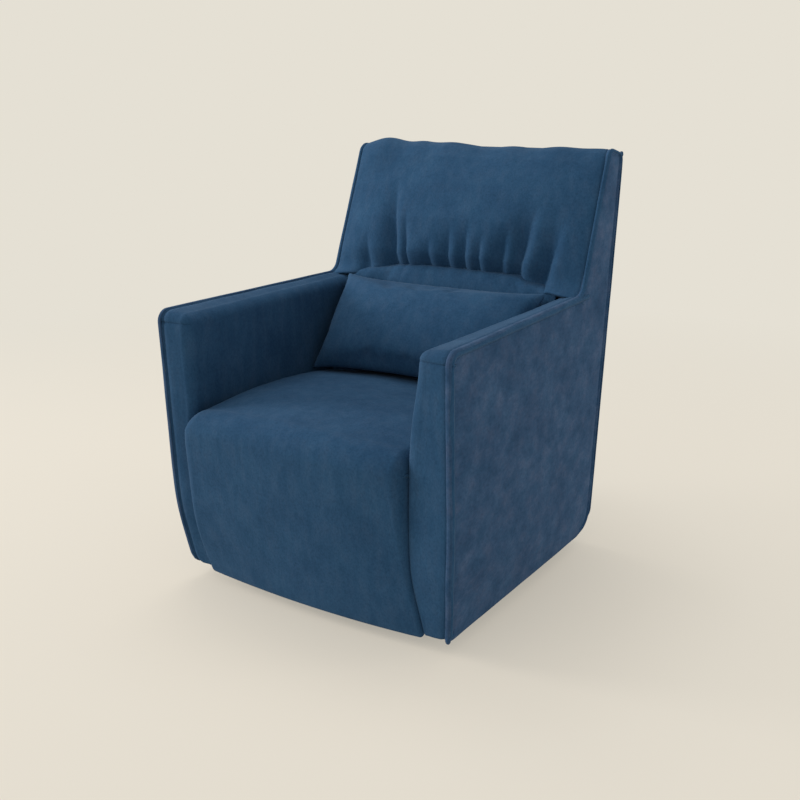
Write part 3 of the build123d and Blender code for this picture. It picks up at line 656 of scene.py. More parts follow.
def microfibre(name, blue, nap_stretch, nap_share, grain_share):
    """Blue suede, more or less mottled: streaks and clouds of brushed nap over a fine grain."""
    material, tree = new_material(name)
    streaks = add_noise(tree, 48, 5, 0.62, nap_stretch)
    clouds = add_noise(tree, 11, 4, 0.6)
    grain = add_noise(tree, 260, 4, 0.65, (1, nap_stretch[1], GRAIN_STRETCH))
    tones = [(place, np.multiply(light, blue)) for place, light in mottled(NAP_STREAKS, nap_share)]
    colour = add_ramp(tree, streaks, tones)
    colour = shaded(tree, 1.0, colour, clouds, mottled(NAP_CLOUDS, nap_share))
    colour = shaded(tree, 1.0, colour, grain, mottled(NAP_GRAIN, grain_share))
    bump = add_bump(tree, grain, 0.25, 0.0005)
    tree.links.new(add_bump(tree, streaks, 0.15, 0.0010), bump.node.inputs["Normal"])
    surface(tree, {
        "Base Color": colour,
        "Normal": bump,
        "Roughness": 0.95,
        "Specular IOR Level": 0.08,
        "Sheen Weight": 0.06,
        "Sheen Roughness": 0.40,
        "Sheen Tint": (0.50, 0.66, 0.90, 1.0),
    })
    return material


def wood(name, dark, light, stretch, scale):
    """Planed timber: long grain, fine pores and a satin finish."""
    material, tree = new_material(name)
    grain = add_noise(tree, scale, 6, 0.62, stretch)
    pores = add_noise(tree, scale, 3, 0.7, [k * 9 for k in stretch])
    base = add_ramp(tree, grain, ((0.32, dark), (0.52, light), (0.70, darker(light, 0.86))))
    colour = shaded(tree, 0.7, base, pores, ((0.34, (0.72, 0.70, 0.68)), (0.50, grey(1))))
    return coat(material, colour, pores, (0.2, 0.0004), {"Roughness": 0.55})


def pressed_board(name, dark, light, rough):
    """Pressed fibres: speckled, without a direction."""
    material, tree = new_material(name)
    specks = add_noise(tree, 520, 5, 0.75)
    clouds = add_noise(tree, 30, 4, 0.6)
    base = add_ramp(tree, specks, ((0.35, dark), (0.62, light)))
    colour = shaded(tree, 0.8, base, clouds, ((0.30, grey(0.85)), (0.65, grey(1.05))))
    return coat(material, colour, specks, (0.3, 0.0005), {"Roughness": rough})


def woven_strap(name, colour, stripe):
    """Elastic webbing: cross ribs with a darker warp."""
    material, tree = new_material(name)
    wave = {"Vector": object_place(tree), "Scale": 160, "Distortion": 0.4}
    ribs = add_node(tree, "TexWave", wave, bands_direction="DIAGONAL").outputs["Fac"]
    threads = add_noise(tree, 700, 3, 0.6)
    base = add_ramp(tree, ribs, ((0.25, stripe), (0.60, colour)))
    colour = shaded(tree, 0.8, base, threads, ((0.30, grey(0.75)), (0.60, grey(1.05))))
    return coat(material, colour, ribs, (0.4, 0.0008), {"Roughness": 0.85})


def metal(name, colour, rough, spangle):
    """Plated or ground steel with an uneven gloss."""
    material, tree = new_material(name)
    cells = add_noise(tree, spangle, 3, 0.5)
    base = add_ramp(tree, cells, ((0.35, darker(colour, 0.82)), (0.65, colour)))
    gloss = add_ramp(tree, cells, ((0.30, grey(rough * 0.7)), (0.70, grey(rough * 1.4))))
    return coat(material, base, cells, (0.08, 0.0003), {"Roughness": gloss, "Metallic": 1.0})


def patterned(name, marks, stops, relief, values):
    """A material whose colour and relief follow one pattern."""
    material, tree = new_material(name)
    pattern = add_noise(tree, *marks)
    return coat(material, add_ramp(tree, pattern, stops), pattern, relief, values)


def moulded(name, colour):
    """Moulded plastic with a fine matt texture."""
    stops = ((0.35, darker(colour, 0.88)), (0.65, colour))
    return patterned(name, (900, 2, 0.5), stops, (0.15, 0.0002), {"Roughness": 0.45})


def matted(name, dark, light, scale):
    """Felt or spun cloth: matted fibres with a soft sheen."""
    values = {"Roughness": 0.95, "Sheen Weight": 0.15}
    return patterned(name, (scale, 6, 0.8), ((0.36, dark), (0.64, light)), (0.5, 0.0006), values)


BLUE = microfibre("blue_microfibre", (0.0215, 0.0645, 0.1350), (1, 1, 0.32), 1.0, 1.0)
# The sides' copy of the blue is redder and greyer than the blue itself: painted warm bounce light from
# the floor and backdrop on the side panels. Its mottling is stronger and its nap runs another way.
BLUE_SIDE_WITH_PAINTED_BOUNCE = microfibre("blue_microfibre_side_painted_bounce", (0.02838, 0.06579, 0.13635), (1, 0.42, 0.62), 1.9, 0.9)
DUST_CLOTH = matted("dust_cloth", (0.010, 0.010, 0.011), (0.035, 0.035, 0.037), 650)
FINISHES = {
    "plywood": wood("plywood", (0.42, 0.28, 0.15), (0.62, 0.46, 0.28), (0.6, 6, 6), 5),
    "beech": wood("beech", (0.40, 0.22, 0.12), (0.58, 0.37, 0.22), (0.5, 8, 8), 6),
    "hardboard": pressed_board("hardboard", (0.10, 0.055, 0.028), (0.22, 0.13, 0.07), 0.7),
    "black_board": pressed_board("black_board", (0.008, 0.008, 0.009), (0.030, 0.030, 0.031), 0.6),
    "zinc_plate": metal("zinc_plate", (0.62, 0.63, 0.63), 0.35, 120),
    "roller_steel": metal("roller_steel", (0.72, 0.72, 0.72), 0.18, 700),
    "cage": moulded("cage", (0.75, 0.74, 0.70)),
    "felt": matted("felt", (0.045, 0.035, 0.028), (0.11, 0.09, 0.075), 500),
    "webbing": woven_strap("webbing", (0.30, 0.22, 0.13), (0.10, 0.07, 0.045)),
}


def finish_frame():
    """Each piece of the frame that stays in view gets the finish of its slot."""
    for part in frame["record"]["subparts"]:
        finish = FINISHES.get(part["material_slot"])
        if finish is not None:
            for slot in NODES[part["node"]].material_slots:
                slot.material = finish


# Side panels

def lip_weight():
    """How much of each point of the outline is a sewn edge: none of the turned-under bottom."""
    weight = []
    for i, (arc, line) in enumerate(zip(ARC_STEPS, LINE_STEPS)):
        weight += [1.0] * (arc + 1) + [0.0 if i == HEEL else 1.0] * (line - 1)
    weight = np.array(weight)
    for _ in range(LIP_FADES):
        weight = (np.roll(weight, 1) + weight + np.roll(weight, -1)) / 3
    return weight


def nearest_on(path, points):
    """Distance to a closed path, and the index of its nearest point, for each point."""
    gaps = np.linalg.norm(points[:, None, :] - path[None, :, :], axis=2)
    nearest = gaps.argmin(1)
    return gaps[np.arange(len(points)), nearest], nearest


def panel_height(e, weight):
    """Height of a side panel at a distance from its edge."""
    hem = -HEM_TURN * np.exp(-e / HEM_TURN_W)
    return weight * lip(e) + (1 - weight) * hem


def panel_rows(side, weight):
    """Rings of points from behind the lip to the inner end of the sewn edge."""
    edge = outline(0.0)
    rows = [(0.0, depth, edge) for depth in PANEL_RETURN]
    rows += [(e, 0.0, outline(e)) for e in EDGE_STEPS]
    points = []
    for e, depth, ring in rows:
        flare = LIP_FLARE[side] * weight * math.exp(-e / LIP_FLARE_W)
        x = side_x(ring[:, 0], ring[:, 1], side) + panel_height(e, weight) + flare - depth
        sag = SIDE_SAG * (1 - weight) * (1 - smooth_step(e, 0.0, SIDE_SAG_RISE))
        points.append(np.column_stack((x, ring[:, 0], ring[:, 1] - sag)))
    return points


def panel_filling(ring):
    """Triangles over the inside of a ring of (y, z) points, and the ring's point at each point."""
    low, high = ring.min(0), ring.max(0)
    spots = []
    for k, z in enumerate(np.arange(low[1], high[1], PANEL_ROW_PITCH)):
        for y in np.arange(low[0] + (k % 2) * PANEL_PITCH / 2, high[0], PANEL_PITCH):
            spots.append((y, z))
    spots = np.array(spots)
    gap, _ = nearest_on(ring, spots)
    points = np.concatenate((ring, spots[gap > PANEL_CLEAR]))
    edges = [(i, (i + 1) % len(ring)) for i in range(len(ring))]
    made = delaunay_2d_cdt([Vector(p) for p in points], edges, [], 1, MERGE_GAP)
    shared = [min(came_from, default=len(ring)) for came_from in made[3]]
    return np.array([tuple(p) for p in made[0]]), made[2], shared


def ear(middle, half, turn):
    """Points of a closed nub of folded seam."""
    points = []
    for i in range(EAR_ROWS + 1):
        polar = math.pi * i / EAR_ROWS
        for j in range(EAR_COLS):
            around = 2 * math.pi * j / EAR_COLS
            spot = Vector((
                half[0] * math.sin(polar) * math.cos(around),
                half[1] * math.sin(polar) * math.sin(around),
                half[2] * math.cos(polar),
            ))
            points.append(tuple(Vector(middle) + Matrix.Rotation(turn, 3, "X") @ spot))
    return np.array(points)


def ears(side):
    """Middle, half sizes and turn of the pinched ends of a side panel's seam."""
    ends = [(BACK_REAR, TOP_EAR_SHIFT, TOP_EAR, TOP_EAR_TURN)]
    if side > 0:
        ends.append((FOOT, FOOT_EAR_SHIFT, FOOT_EAR, 0.0))
    made = []
    for corner, shift, half, turn in ends:
        y, z = body_corner(corner)
        x = float(side_x(y, z, side))
        made.append(((x - EAR_SINK, y + shift, z + shift), half, turn))
    return made


def tidy_mesh(obj):
    """Drops points without faces and turns the faces of each island outwards."""
    bm = bmesh.new()
    bm.from_mesh(obj.data)
    loose = [v for v in bm.verts if not v.link_faces]
    bmesh.ops.delete(bm, geom=loose, context="VERTS")
    bmesh.ops.recalc_face_normals(bm, faces=bm.faces)
    bm.to_mesh(obj.data)
    bm.free()


def side_panel(side, hand):
    """Padded side of the body with a lip all round and its ends pinched into ears."""
    weight = lip_weight()
    edge = outline(0.0)
    count = len(edge)
    points = panel_rows(side, weight)
    first = len(points) * count
    faces = grid_faces(len(points), count, 0, True)
    filling, triangles, shared = panel_filling(outline(EDGE_STEPS[-1]))
    gap, nearest = nearest_on(edge, filling)
    x = side_x(filling[:, 0], filling[:, 1], side) + panel_height(gap, weight[nearest])
    index = [first - count + k if k < count else first + i for i, k in enumerate(shared)]
    points.append(np.column_stack((x, filling)))
    faces += [[index[i] for i in t] for t in triangles]
    points = np.concatenate(points)
    points[:, 0] += RIPPLE * ripple(points, *RIPPLES["side_panel"])
    for middle, half, turn in ears(side):
        faces += grid_faces(EAR_ROWS + 1, EAR_COLS, len(points), True)
        points = np.concatenate((points, ear(middle, half, turn)))
    if side < 0:
        points = points * (-1, 1, 1)
        faces = flipped(faces)
    # the sides take the copy of the blue with painted warm bounce light
    obj = mesh_object(f"side_panel_{hand}", points, faces, BLUE_SIDE_WITH_PAINTED_BOUNCE)
    tidy_mesh(obj)
    thicken(obj, COVER_T, -1)
    dress(obj, "chair", [f"side_cover_{hand}", f"side_pad_{hand}"])


# Arms

def arm_path(inset):
    """Open side view of an arm, from its hem up the front and along the top to the back."""
    foot, knee, front, rear = (body_corner(i) for i in (FOOT, KNEE, ARM_FRONT, ARM_REAR))
    past = rear + (rear - front) / np.linalg.norm(rear - front) * ARM_UNDER_BACK
    under = foot + (HEM, 0)
    low = min(inset, HEM_R)
    moved = draw_in([under, foot, knee, front, past], [low, inset, inset, inset], False)
    moved[0] = moved[1] + (HEM, 0)
    radii = (0, max(HEM_R - inset, MIN_RADIUS), CORNERS[KNEE][2] - inset,
             max(CORNERS[ARM_FRONT][2] - inset, MIN_RADIUS), 0)
    return rounded(moved, radii, ARM_ARCS, ARM_LINES, False)


def arm_paths():
    """Paths of an arm at many insets, to look up a place at any inset."""
    insets = np.linspace(0, ARM_INNER_DEPTH + INSET_SPARE, INSET_COUNT)
    return insets, np.stack([arm_path(d) for d in insets])


def inset_path(insets, paths, drop):
    """The path of an arm with its own inset at each point."""
    place = np.broadcast_to(drop, paths.shape[1]) / insets[1]
    low = np.clip(place.astype(int), 0, len(insets) - 2)
    part = (place - low)[:, None]
    every = np.arange(paths.shape[1])
    return paths[low, every] * (1 - part) + paths[low + 1, every] * part


def face_column(path, out, x, e, share):
    """One line of points along the front and top of an arm, at a distance from the seam."""
    height = lip(np.maximum(e, 0)) - ARM_SLOPE * share - ARM_SINK
    height = np.where(np.asarray(e) < 0, -ARM_FOLD_D, height)
    spots = path + out * np.broadcast_to(height, len(path))[:, None]
    return np.column_stack((np.broadcast_to(x, len(path)), spots))


def mitre(points, path, out):
    """Presses the seam across the front corner of an arm."""
    along = path_lengths(path)
    gap = along - along[arc_start(ARM_ARCS, ARM_LINES, 3) + MITRE_STEP]
    dip = MITRE_D * np.exp(-((gap / MITRE_W) ** 2)) + MITRE_SINK * np.exp(-((gap / MITRE_REACH) ** 2))
    columns = 1 + len(EDGE_STEPS) + ARM_FACE_COLS + MITRE_TURN
    points[:, :columns, 1:] -= (out * dip[:, None])[:, None, :]


def arm_columns(path, out, side):
    """Lines of points of an arm, from its outer seam over the face and down the inner side."""
    insets, paths = arm_paths()
    outer = side_x(path[:, 0], path[:, 1], side)
    high = smooth_step(path[:, 1] - BODY_Z, *ARM_EDGE_RISES)
    radius = ARM_LOW_R + (ARM_EDGE_R - ARM_LOW_R) * high
    flat_end = ARM_INNER + radius
    columns = []
    for e in (-ARM_FOLD, *EDGE_STEPS):
        columns.append(face_column(path, out, outer - abs(e), e, 0.0))
    for share in np.linspace(0, 1, ARM_FACE_COLS + 1)[1:]:
        x = outer - EDGE_STEPS[-1] + (flat_end - outer + EDGE_STEPS[-1]) * share
        columns.append(face_column(path, out, x, outer - x, share))
    for k in range(1, ARM_TURN_COLS + 1):
        angle = math.pi / 2 * k / ARM_TURN_COLS
        drop = radius * (1 - math.cos(angle)) + ARM_SLOPE + ARM_SINK
        x = flat_end - radius * math.sin(angle)
        columns.append(np.column_stack((x, inset_path(insets, paths, drop))))
    edge_drop = radius + ARM_SLOPE + ARM_SINK
    for share in np.linspace(0, 1, ARM_INNER_COLS + 1)[1:]:
        inner = inset_path(insets, paths, edge_drop + (ARM_INNER_DEPTH - edge_drop) * share)
        columns.append(np.column_stack((np.full(len(path), ARM_INNER), inner)))
    return np.stack(columns, 1)


def arm(side, hand):
    """One arm: front and top in one strip with a mitre, a soft inner edge and the inner face."""
    path = arm_path(0.0)
    out = path_normals(path)
    points = arm_columns(path, out, side)
    mitre(points, path, out)
    bumps = RIPPLE * ripple(points, *RIPPLES[f"arm_{hand}"])
    points[:, :, 2] += bumps - front_sag(points)
    points[:, :, 1] += bumps
    points = points * (side, 1, 1)
    points[:, :, 0] -= front_sway(points)
    cover(f"arm_{hand}", points, [f"arm_cover_{hand}", f"arm_pad_{hand}"], side > 0)


# Seat

def seat_profile(push, lift):
    """Side view of the seat cover at one place across it, from the hem to the rear."""
    top = BODY_Z + SEAT_TOP + lift
    corners = (SEAT_FOOT, SEAT_WAIST, SEAT_TURN)
    foot, waist, turn = ((reach - push, BODY_Z + rise) for reach, rise in corners)
    lip_at = (SEAT_LIP - push, top - SEAT_LIP_DROP)
    half = math.sin(math.pi / 4)
    knee = (lip_at[0] + (turn[0] - lip_at[0]) * half, turn[1] + (lip_at[1] - turn[1]) * half)
    front = arc_through(foot, waist, turn, SEAT_FRONT_STEPS)
    under = np.array((foot[0] + HEM, BODY_Z))
    hem = corner_arc(under, front[0], front[HEM_STEPS], HEM_R, HEM_STEPS)
    nose = arc_through(turn, knee, lip_at, SEAT_NOSE_STEPS)
    crown = arc_through(lip_at, (SEAT_MID, top), (SEAT_REAR, top - SEAT_REAR_DROP), SEAT_TOP_STEPS)
    tail = [
        crown[-1] + (SEAT_TAIL_LEAD, -SEAT_TAIL_LEAD - SEAT_TAIL_STEP * k)
        for k in range(SEAT_TAIL_ROWS)
    ]
    return np.concatenate(([under], hem, front[SEAT_HEM_END:-1], nose[:-1], crown, tail))


def seat_places():
    """Columns of the seat: share of the flat top, share of the turn at a side, depth below it."""
    right = [(1.0, t, 0.0) for t in np.linspace(0, 1, SEAT_TURN_COLS + 1)[1:]]
    right += [(1.0, 1.0, SEAT_SIDE_STEP * k) for k in range(1, SEAT_SIDE_COLS + 1)]
    left = [(-share, turn, depth) for share, turn, depth in reversed(right)]
    return left + [(share, 0.0, 0.0) for share in np.linspace(-1, 1, SEAT_COLS)] + right


def seat():
    """Seat cushion that falls over the front in one piece, pressed between the arms."""
    columns = []
    for share, turn, depth in seat_places():
        swell = 1 - share**2
        profile = seat_profile(SEAT_BULGE * swell, SEAT_CROWN * swell)
        high = smooth_step(profile[:, 1] - BODY_Z, *SEAT_R_RISES)
        radius = SEAT_LOW_R + (SEAT_HIGH_R - SEAT_LOW_R) * high
        angle = turn * math.pi / 2
        half = SEAT_HALF - radius * (1 - math.sin(angle))
        drop = radius * (1 - math.cos(angle)) + depth
        profile = profile - path_normals(profile) * drop[:, None]
        columns.append(np.column_stack((share * half, profile)))
    points = np.stack(columns, 1)
    bumps = SEAT_RIPPLE * ripple(points, *RIPPLES["seat"])
    points[:, :, 1] -= bumps
    points[:, :, 2] += bumps - front_sag(points)
    sway = front_sway(points)
    points[:, :, 1] -= SEAT_PUFF * front_belly(points) * (points[:, :, 0] < 0)
    points[:, :, 0] -= sway
    cover("seat_cushion", points, ["seat_cover", "seat_foam"], True)


# Back

def back_path():
    """Front of the back from the arm up and over the top to the rear edge."""
    rear, front, top, edge = (body_corner(i) for i in (ARM_REAR, ARM_FRONT, BACK_FRONT, BACK_REAR))
    start = rear + (front - rear) / np.linalg.norm(front - rear) * BACK_LEAD
    radii = (0, CORNERS[ARM_REAR][2], CORNERS[BACK_FRONT][2], 0)
    path = rounded(np.array([start, rear, top, edge]), radii, BACK_ARCS, BACK_LINES, False)
    return path, path_normals(path), path_lengths(path)


def seam_run(x):
    """Height of the gathered seam above the arms: an arch that drops to the arms at its ends."""
    x = np.asarray(x, float)
    shifts = np.linspace(-SEAM_BLUR, SEAM_BLUR, SEAM_BLUR_STEPS)
    near = [np.interp(x + shift, SEAM_PLACES, SEAM_RUNS) for shift in shifts]
    return np.mean(near, 0)


def pleat_dip(x, up):
    """Depth of the gathers at a place across and a distance up from the seam."""
    dip = np.zeros(np.broadcast(x, up).shape)
    for place, depth, width, length in PLEATS:
        middle = place + (PLEAT_SLANT + PLEAT_FAN * place) * up
        away = (x - middle) / width
        away = np.where(away > 0, away / PLEAT_STEEP, -away)
        fade = 1 - smooth_step(up, PLEAT_FULL * length, length)
        dip += depth * fade * np.exp(-(away**PLEAT_ROUND))
    return dip


def top_swell(x):
    """Rise of the top edge across the back."""
    return sum(h * np.exp(-(((x - place) / width) ** 2)) for place, h, width in TOP_SWELLINGS)


def upper_height(x, half, up, share, to_end):
    """Height of the upper cushion over the leaning line: crown, seam, pleats, crest and lips."""
    full = np.interp(share, *CROWN) * (1 - np.abs(x / half) ** CROWN_POWER)
    middle = smooth_step(seam_run(x), SEAM_RUNS[0], SEAM_RUN)
    tuck = (TUCK_END_D + (TUCK_D - TUCK_END_D) * middle) * np.exp(-up / TUCK_W)
    dip = pleat_dip(x, up) * (1 - smooth_step(np.abs(x), *PLEAT_ENDS))
    crest = top_swell(x) * smooth_step(share, *CREST_SHARES) * np.clip(to_end / CREST_FADE, 0, 1)
    return full - tuck - dip + crest + lip(half - np.abs(x)) + lip(to_end)


def upper_column(path, out, along, side, value):
    """One line of points from the gathered seam up and over the top to the rear edge."""
    leaves_arm = along[arc_start(BACK_ARCS, BACK_LINES, 1) + BACK_ARCS[1]]
    lean_at = leaves_arm - CORNERS[ARM_REAR][2] * math.tan((math.pi / 2 - LEAN) / 2)
    top = along[arc_start(BACK_ARCS, BACK_LINES, 2) + BACK_ARCS[2] // 2]
    end = along[-1]
    guess = side * (HALF_REAR - value) if side else value * SEAM_HALF
    start = lean_at + float(seam_run(guess))
    last_near = UPPER_STEPS[-1]
    far = np.linspace(0, 1, UPPER_ROWS + 1)[1:]
    steps = np.concatenate((start + UPPER_STEPS, start + last_near + (end - start - last_near) * far))
    spot = np.stack([np.interp(steps, along, path[:, k]) for k in (0, 1)], 1)
    normal = np.stack([np.interp(steps, along, out[:, k]) for k in (0, 1)], 1)
    half = side_x(spot[:, 0], spot[:, 1])
    x = column_x(side, value, half)
    share = (steps - lean_at - SEAM_RUN) / (top - lean_at - SEAM_RUN)
    height = upper_height(x, half, steps - start, share, end - steps)
    return np.column_stack((x, spot + normal * height[:, None]))


def upper_back():
    """Upper cushion gathered into its seam, with a lip down each side and along the rear edge."""
    way = back_path()
    points = [upper_column(*way, side, value) for side, value in sewn_columns(UPPER_COLS)]
    points = np.stack(points, 1)
    points[:, :, 1] -= UPPER_RIPPLE * ripple(points, *RIPPLES["upper_back"])
    points = np.concatenate((turned(points[:1], UPPER_TURN), points))
    nodes = ["upper_back_cover", "upper_back_foam", "back_border_left", "back_border_right"]
    cover("upper_back_cushion", points, nodes)


def lower_back():
    """Lower back pad between the arms, drawn in along the gathered seam."""
    xs = np.linspace(-1, 1, LOWER_COLS) * SEAT_HALF
    last = np.linspace(0, 1, LOWER_END_ROWS + 1)[1:]
    rows = np.concatenate((
        np.linspace(0, LOWER_END_FROM, LOWER_ROWS),
        LOWER_END_FROM + (1 - LOWER_END_FROM) * last,
    ))
    low = (BODY_Z + SEAT_TOP - LOWER_FOOT - LEAN_START[1]) / math.cos(LEAN)
    up = np.array((math.sin(LEAN), math.cos(LEAN)))
    out = np.array((-math.cos(LEAN), math.sin(LEAN)))
    high = np.minimum(seam_run(xs), SEAM_RUN) + LOWER_LAP
    middle = smooth_step(high, SEAM_RUNS[-1], SEAM_RUN)
    ends = LOWER_END_RISE * smooth_step(np.abs(xs), *LOWER_END_PLACES)
    points = []
    for t in rows:
        run = low + (high - low) * t
        below = high - run
        full = LOWER_CROWN * (1 - (xs / SEAT_HALF) ** 2) + ends * np.exp(-((below / LOWER_END_H) ** 2))
        tuck = LOWER_TUCK_D * middle * np.exp(-below / LOWER_TUCK_W)
        height = full - tuck - LOWER_PUCKER * pleat_dip(xs, below * LOWER_PUCKER_SHORTER)
        spot = LEAN_START + run[:, None] * up + height[:, None] * out
        points.append(np.column_stack((xs, spot)))
    points = np.stack(points, 0)
    points = np.concatenate((points, turned(points[-1:], LOWER_TURN)))
    cover("lower_back_pad", points, ["lower_back_cover", "lower_back_foam"])


def outside_back():
    """Rear of the back: one padded panel from the top edge down and under."""
    edge, heel = body_corner(BACK_REAR), body_corner(HEEL)
    under = np.array((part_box("dust_cover")[1].y + REAR_LAP, BODY_Z))
    heel_r = CORNERS[HEEL][2]
    path = rounded(np.array([edge, heel, under]), (0, heel_r, 0), REAR_ARCS, REAR_LINES, False)
    out = path_normals(path)
    along = path_lengths(path)
    low = 1 - smooth_step(path[:, 1] - BODY_Z, 0.0, heel_r)
    half = side_x(path[:, 0], path[:, 1]) - UNDER_TUCK * low
    columns = []
    for side, value in sewn_columns(REAR_COLS):
        x = column_x(side, value, half)
        height = REAR_PUFF + lip(half - np.abs(x)) + lip(along)
        columns.append(np.column_stack((x, path + out * height[:, None])))
    points = np.stack(columns, 1)
    points[:, :, 1] += RIPPLE * ripple(points, *RIPPLES["outside_back"])
    cover("outside_back_panel", points, ["outside_back_cover", "outside_back_pad"])


# Pillow

def pillow_spot(u, v, layer):
    """A point of the case before it is blown up: crowned, with its sides drawn in between corners."""
    x = u * PILLOW_HALF * (1 - PILLOW_PULL[0] * (1 - v * v) * u * u)
    y = v * PILLOW_H / 2 * (1 - PILLOW_PULL[1] * (1 - u * u) * v * v)
    plump = max(0.0, (1 - abs(u) ** PILLOW_CROWN[0]) * (1 - abs(v) ** PILLOW_CROWN[1]))
    return (x, y, layer * PILLOW_START_T / 2 * plump**PILLOW_PLUMP)


def pillow_start():
    """Sewn case of two crowned panels with one shared edge."""
    cols, rows = (int(round(size / PILLOW_PITCH)) for size in (2 * PILLOW_HALF, PILLOW_H))
    points, faces, index = [], [], {}

    def corner(i, j, layer):
        key = (i, j, 0 if i in (0, rows) or j in (0, cols) else layer)
        if key not in index:
            index[key] = len(points)
            points.append(pillow_spot(2 * j / cols - 1, 2 * i / rows - 1, key[2]))
        return index[key]

    for layer in (1, -1):
        for i in range(rows):
            for j in range(cols):
                face = [corner(i + a, j + b, layer) for a, b in ((0, 0), (0, 1), (1, 1), (1, 0))]
                faces.append(face if layer > 0 else face[::-1])
    return points, faces


def vertex_places(obj):
    places = np.empty(len(obj.data.vertices) * 3, np.float32)
    obj.data.vertices.foreach_get("co", places)
    return places.reshape(-1, 3).astype(float)


def place_vertices(obj, places):
    obj.data.vertices.foreach_set("co", np.asarray(places, np.float32).ravel())
    obj.data.update()


def fill_pillow(obj):
    """Blows the sewn case up as cloth, with a cap on how far it swells."""
    start = vertex_places(obj)
    cloth = obj.modifiers.new("cloth", "CLOTH")
    for name, value in CLOTH.items():
        setattr(cloth.settings, name, value)
    cloth.settings.effector_weights.gravity = 0
    cloth.collision_settings.use_collision = False
    scene = bpy.context.scene
    for number in range(1, CLOTH_FRAMES + 1):
        scene.frame_set(number)
    apply_modifiers(obj)
    scene.frame_set(1)
    moved = vertex_places(obj) - start
    far = np.linalg.norm(moved, axis=1)
    keep = np.minimum(1, PILLOW_SWELL_CAP / np.maximum(far, LEAST_MOVE))
    place_vertices(obj, start + moved * keep[:, None])


def puckers(co):
    """Small gathers along the sewn edge of the pillow."""
    half = np.abs(co[:, :2]).max(0)
    gap = np.minimum(half[0] - np.abs(co[:, 0]), half[1] - np.abs(co[:, 1]))
    waves = ripple(co * (1, 1, PUCKER_FLAT), *RIPPLES["pillow"])
    return np.sign(co[:, 2]) * PUCKER_H * waves * np.exp(-gap / PUCKER_REACH)


def pillow():
    """Lumbar pillow: a filled case, subdivided and leaned between the seat and the back."""
    points, faces = pillow_start()
    obj = mesh_object("lumbar_pillow", points, faces, BLUE)
    fill_pillow(obj)
    smooth = obj.modifiers.new("smooth", "SUBSURF")
    smooth.levels = smooth.render_levels = 1
    apply_modifiers(obj)
    obj.data.polygons.foreach_set("use_smooth", [True] * len(obj.data.polygons))
    co = vertex_places(obj)
    for axis, size in enumerate((2 * PILLOW_HALF, PILLOW_H, PILLOW_T)):
        co[:, axis] *= size / np.ptp(co[:, axis])
    co[:, 2] += puckers(co)
    low_part = np.clip((PILLOW_SAG_FROM - 2 * co[:, 1] / PILLOW_H) / (1 + PILLOW_SAG_FROM), 0, 1)
    sag = SEAT_CROWN * (co[:, 0] / SEAT_HALF) ** 2 * low_part
    up = np.array((0, math.sin(PILLOW_LEAN), math.cos(PILLOW_LEAN)))
    off = np.array((0, -math.cos(PILLOW_LEAN), math.sin(PILLOW_LEAN)))
    low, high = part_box("pillow_cover")
    middle = np.array((0, (low.y + high.y) / 2, (low.z + high.z) / 2 - PILLOW_SINK))
    placed = middle + co[:, :1] * (1, 0, 0) + co[:, 1:2] * up + co[:, 2:3] * off
    placed[:, 2] -= sag
    place_vertices(obj, placed)
    dress(obj, "pillow", ["pillow_cover", "pillow_insert"])


# Underside

def rectangle_ring(x, front, rear, steps):
    """Points round a rectangle from -x to x and -front to rear, the same number on each side."""
    corners = np.array(((-x, -front), (x, -front), (x, rear), (-x, rear)))
    every = np.arange(steps)[:, None]
    sides = zip(corners, np.roll(corners, -1, 0))
    return np.concatenate([start + (end - start) * every / steps for start, end in sides])


def face_down(obj):
    """Turns a level sheet's faces to the floor."""
    if obj.data.polygons[0].normal.z > 0:
        obj.data.flip_normals()


def dust_cover():
    """Black cloth stapled under the frame, cut out behind the swivel plate."""
    low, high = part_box("dust_cover")
    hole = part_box("upper_race_plate")[1].x - DUST_OVERLAP
    points = []
    for k in range(DUST_ROWS + 1):
        t = k / DUST_ROWS
        sag = DUST_SAG * math.sin(math.pi * t) ** 2
        x, front, rear = (hole + (reach - hole) * t for reach in (high.x, -low.y, high.y))
        ring = rectangle_ring(x, front, rear, DUST_STEPS)
        points += [(a, b, low.z + DUST_T / 2 - sag) for a, b in ring]
    per_ring = len(points) // (DUST_ROWS + 1)
    points = np.array(points)
    inner = 1 - np.abs(np.linspace(-1, 1, DUST_ROWS + 1))
    bumps = 1 + ripple(points, *RIPPLES["dust"])
    points[:, 2] -= DUST_RIPPLE * np.repeat(inner, per_ring) * bumps
    obj = mesh_object("dust_sheet", points, grid_faces(DUST_ROWS + 1, per_ring, 0, True), DUST_CLOTH)
    face_down(obj)
    thicken(obj, DUST_T, 0)
    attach(obj, "chair")
    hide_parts("dust_cover")


# Stage

def floor():
    """Pale floor that takes the shadow and becomes the backdrop further away."""
    material, tree = new_material("floor")
    surface(tree, {"Base Color": FLOOR_COLOUR, "Roughness": 0.9, "Specular IOR Level": 0.1})
    spot = add_node(tree, "TexCoord", {}).outputs["Object"]
    far = add_node(tree, "VectorMath", {0: spot}, operation="LENGTH").outputs["Value"]
    part = add_node(tree, "Math", {0: far, 1: FLOOR_FADE}, operation="DIVIDE").outputs[0]
    fade = add_ramp(tree, part, [(place, grey(share)) for place, share in FLOOR_SHARES])
    shaded = tree.nodes["Principled BSDF"].outputs["BSDF"]
    plain = add_node(tree, "Emission", {"Color": BACKDROP}).outputs["Emission"]
    blend = add_node(tree, "MixShader", {0: fade, 1: shaded, 2: plain}).outputs["Shader"]
    tree.links.new(blend, tree.nodes["Material Output"].inputs["Surface"])
    points = [(x * FLOOR_HALF, y * FLOOR_HALF, 0) for x, y in ((-1, -1), (1, -1), (1, 1), (-1, 1))]
    mesh_object("floor", points, [[0, 1, 2, 3]], material)


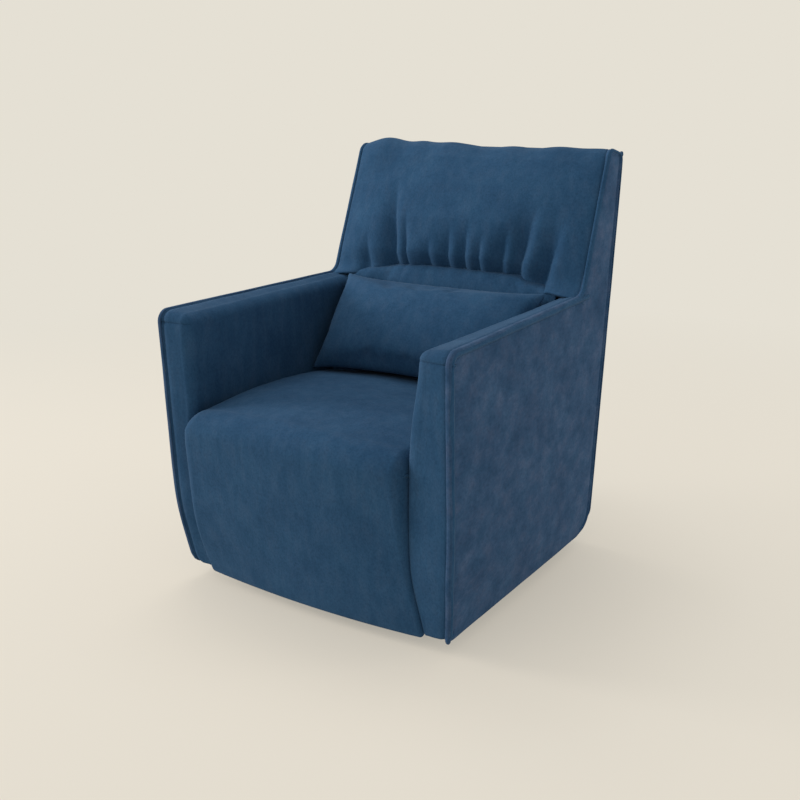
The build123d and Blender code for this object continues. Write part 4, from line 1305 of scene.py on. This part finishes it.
def sky_strength(tree):
    """Ambient light that is strongest from the upper left."""
    way = add_node(tree, "TexCoord", {}).outputs["Generated"]
    inputs = {0: way, 1: Vector(SKY_FROM).normalized()}
    facing = add_node(tree, "VectorMath", inputs, operation="DOT_PRODUCT").outputs["Value"]
    levels = {"Value": facing, "From Min": -1.0, "To Min": SKY_DIM, "To Max": SKY_BRIGHT}
    return add_node(tree, "MapRange", levels).outputs["Result"]


def world():
    """Ambient light, with the plain backdrop where it is seen directly or in a reflection."""
    made = bpy.data.worlds.new("studio")
    bpy.context.scene.world = made
    made.use_nodes = True
    tree = made.node_tree
    ambient = tree.nodes["Background"]
    fill_inputs(tree, ambient, {"Color": AMBIENT, "Strength": sky_strength(tree)})
    shown = add_node(tree, "Background", {"Color": BACKDROP})
    rays = add_node(tree, "LightPath", {}).outputs
    seen = rays["Is Camera Ray"]
    for kind in ("Is Glossy Ray", "Is Transmission Ray"):
        seen = add_node(tree, "Math", {0: seen, 1: rays[kind]}, operation="MAXIMUM").outputs[0]
    mix = add_node(tree, "MixShader", {0: seen, 1: ambient.outputs[0], 2: shown.outputs[0]})
    tree.links.new(mix.outputs[0], tree.nodes["World Output"].inputs["Surface"])


def set_up(name, data, at, way):
    """A light or camera at a place, looking a way."""
    obj = bpy.data.objects.new(name, data)
    obj.location = at
    obj.rotation_mode = "QUATERNION"
    obj.rotation_quaternion = Vector(way).to_track_quat("-Z", "Y")
    bpy.context.scene.collection.objects.link(obj)
    return obj


def area_light(name, at, target, size, power):
    data = bpy.data.lights.new(name, "AREA")
    data.shape = "DISK"
    data.size = size
    data.energy = power
    data.color = WARM_WHITE
    set_up(name, data, at, Vector(target) - Vector(at))


def camera():
    data = bpy.data.cameras.new("camera")
    data.sensor_width = SENSOR
    data.lens = SENSOR * FOCAL_PIXELS / IMAGE_PIXELS
    way = (
        -math.sin(CAMERA_AZIMUTH) * math.cos(CAMERA_ELEVATION),
        math.cos(CAMERA_AZIMUTH) * math.cos(CAMERA_ELEVATION),
        -math.sin(CAMERA_ELEVATION),
    )
    bpy.context.scene.camera = set_up("camera", data, CAMERA_AT, way)


for side, hand in ((1, "right"), (-1, "left")):
    side_panel(side, hand)
    arm(side, hand)
seat()
upper_back()
lower_back()
outside_back()
pillow()
dust_cover()
finish_frame()
floor()
world()
for light in LIGHTS:
    area_light(*light)
camera()
bpy.context.scene.view_settings.view_transform = "Standard"
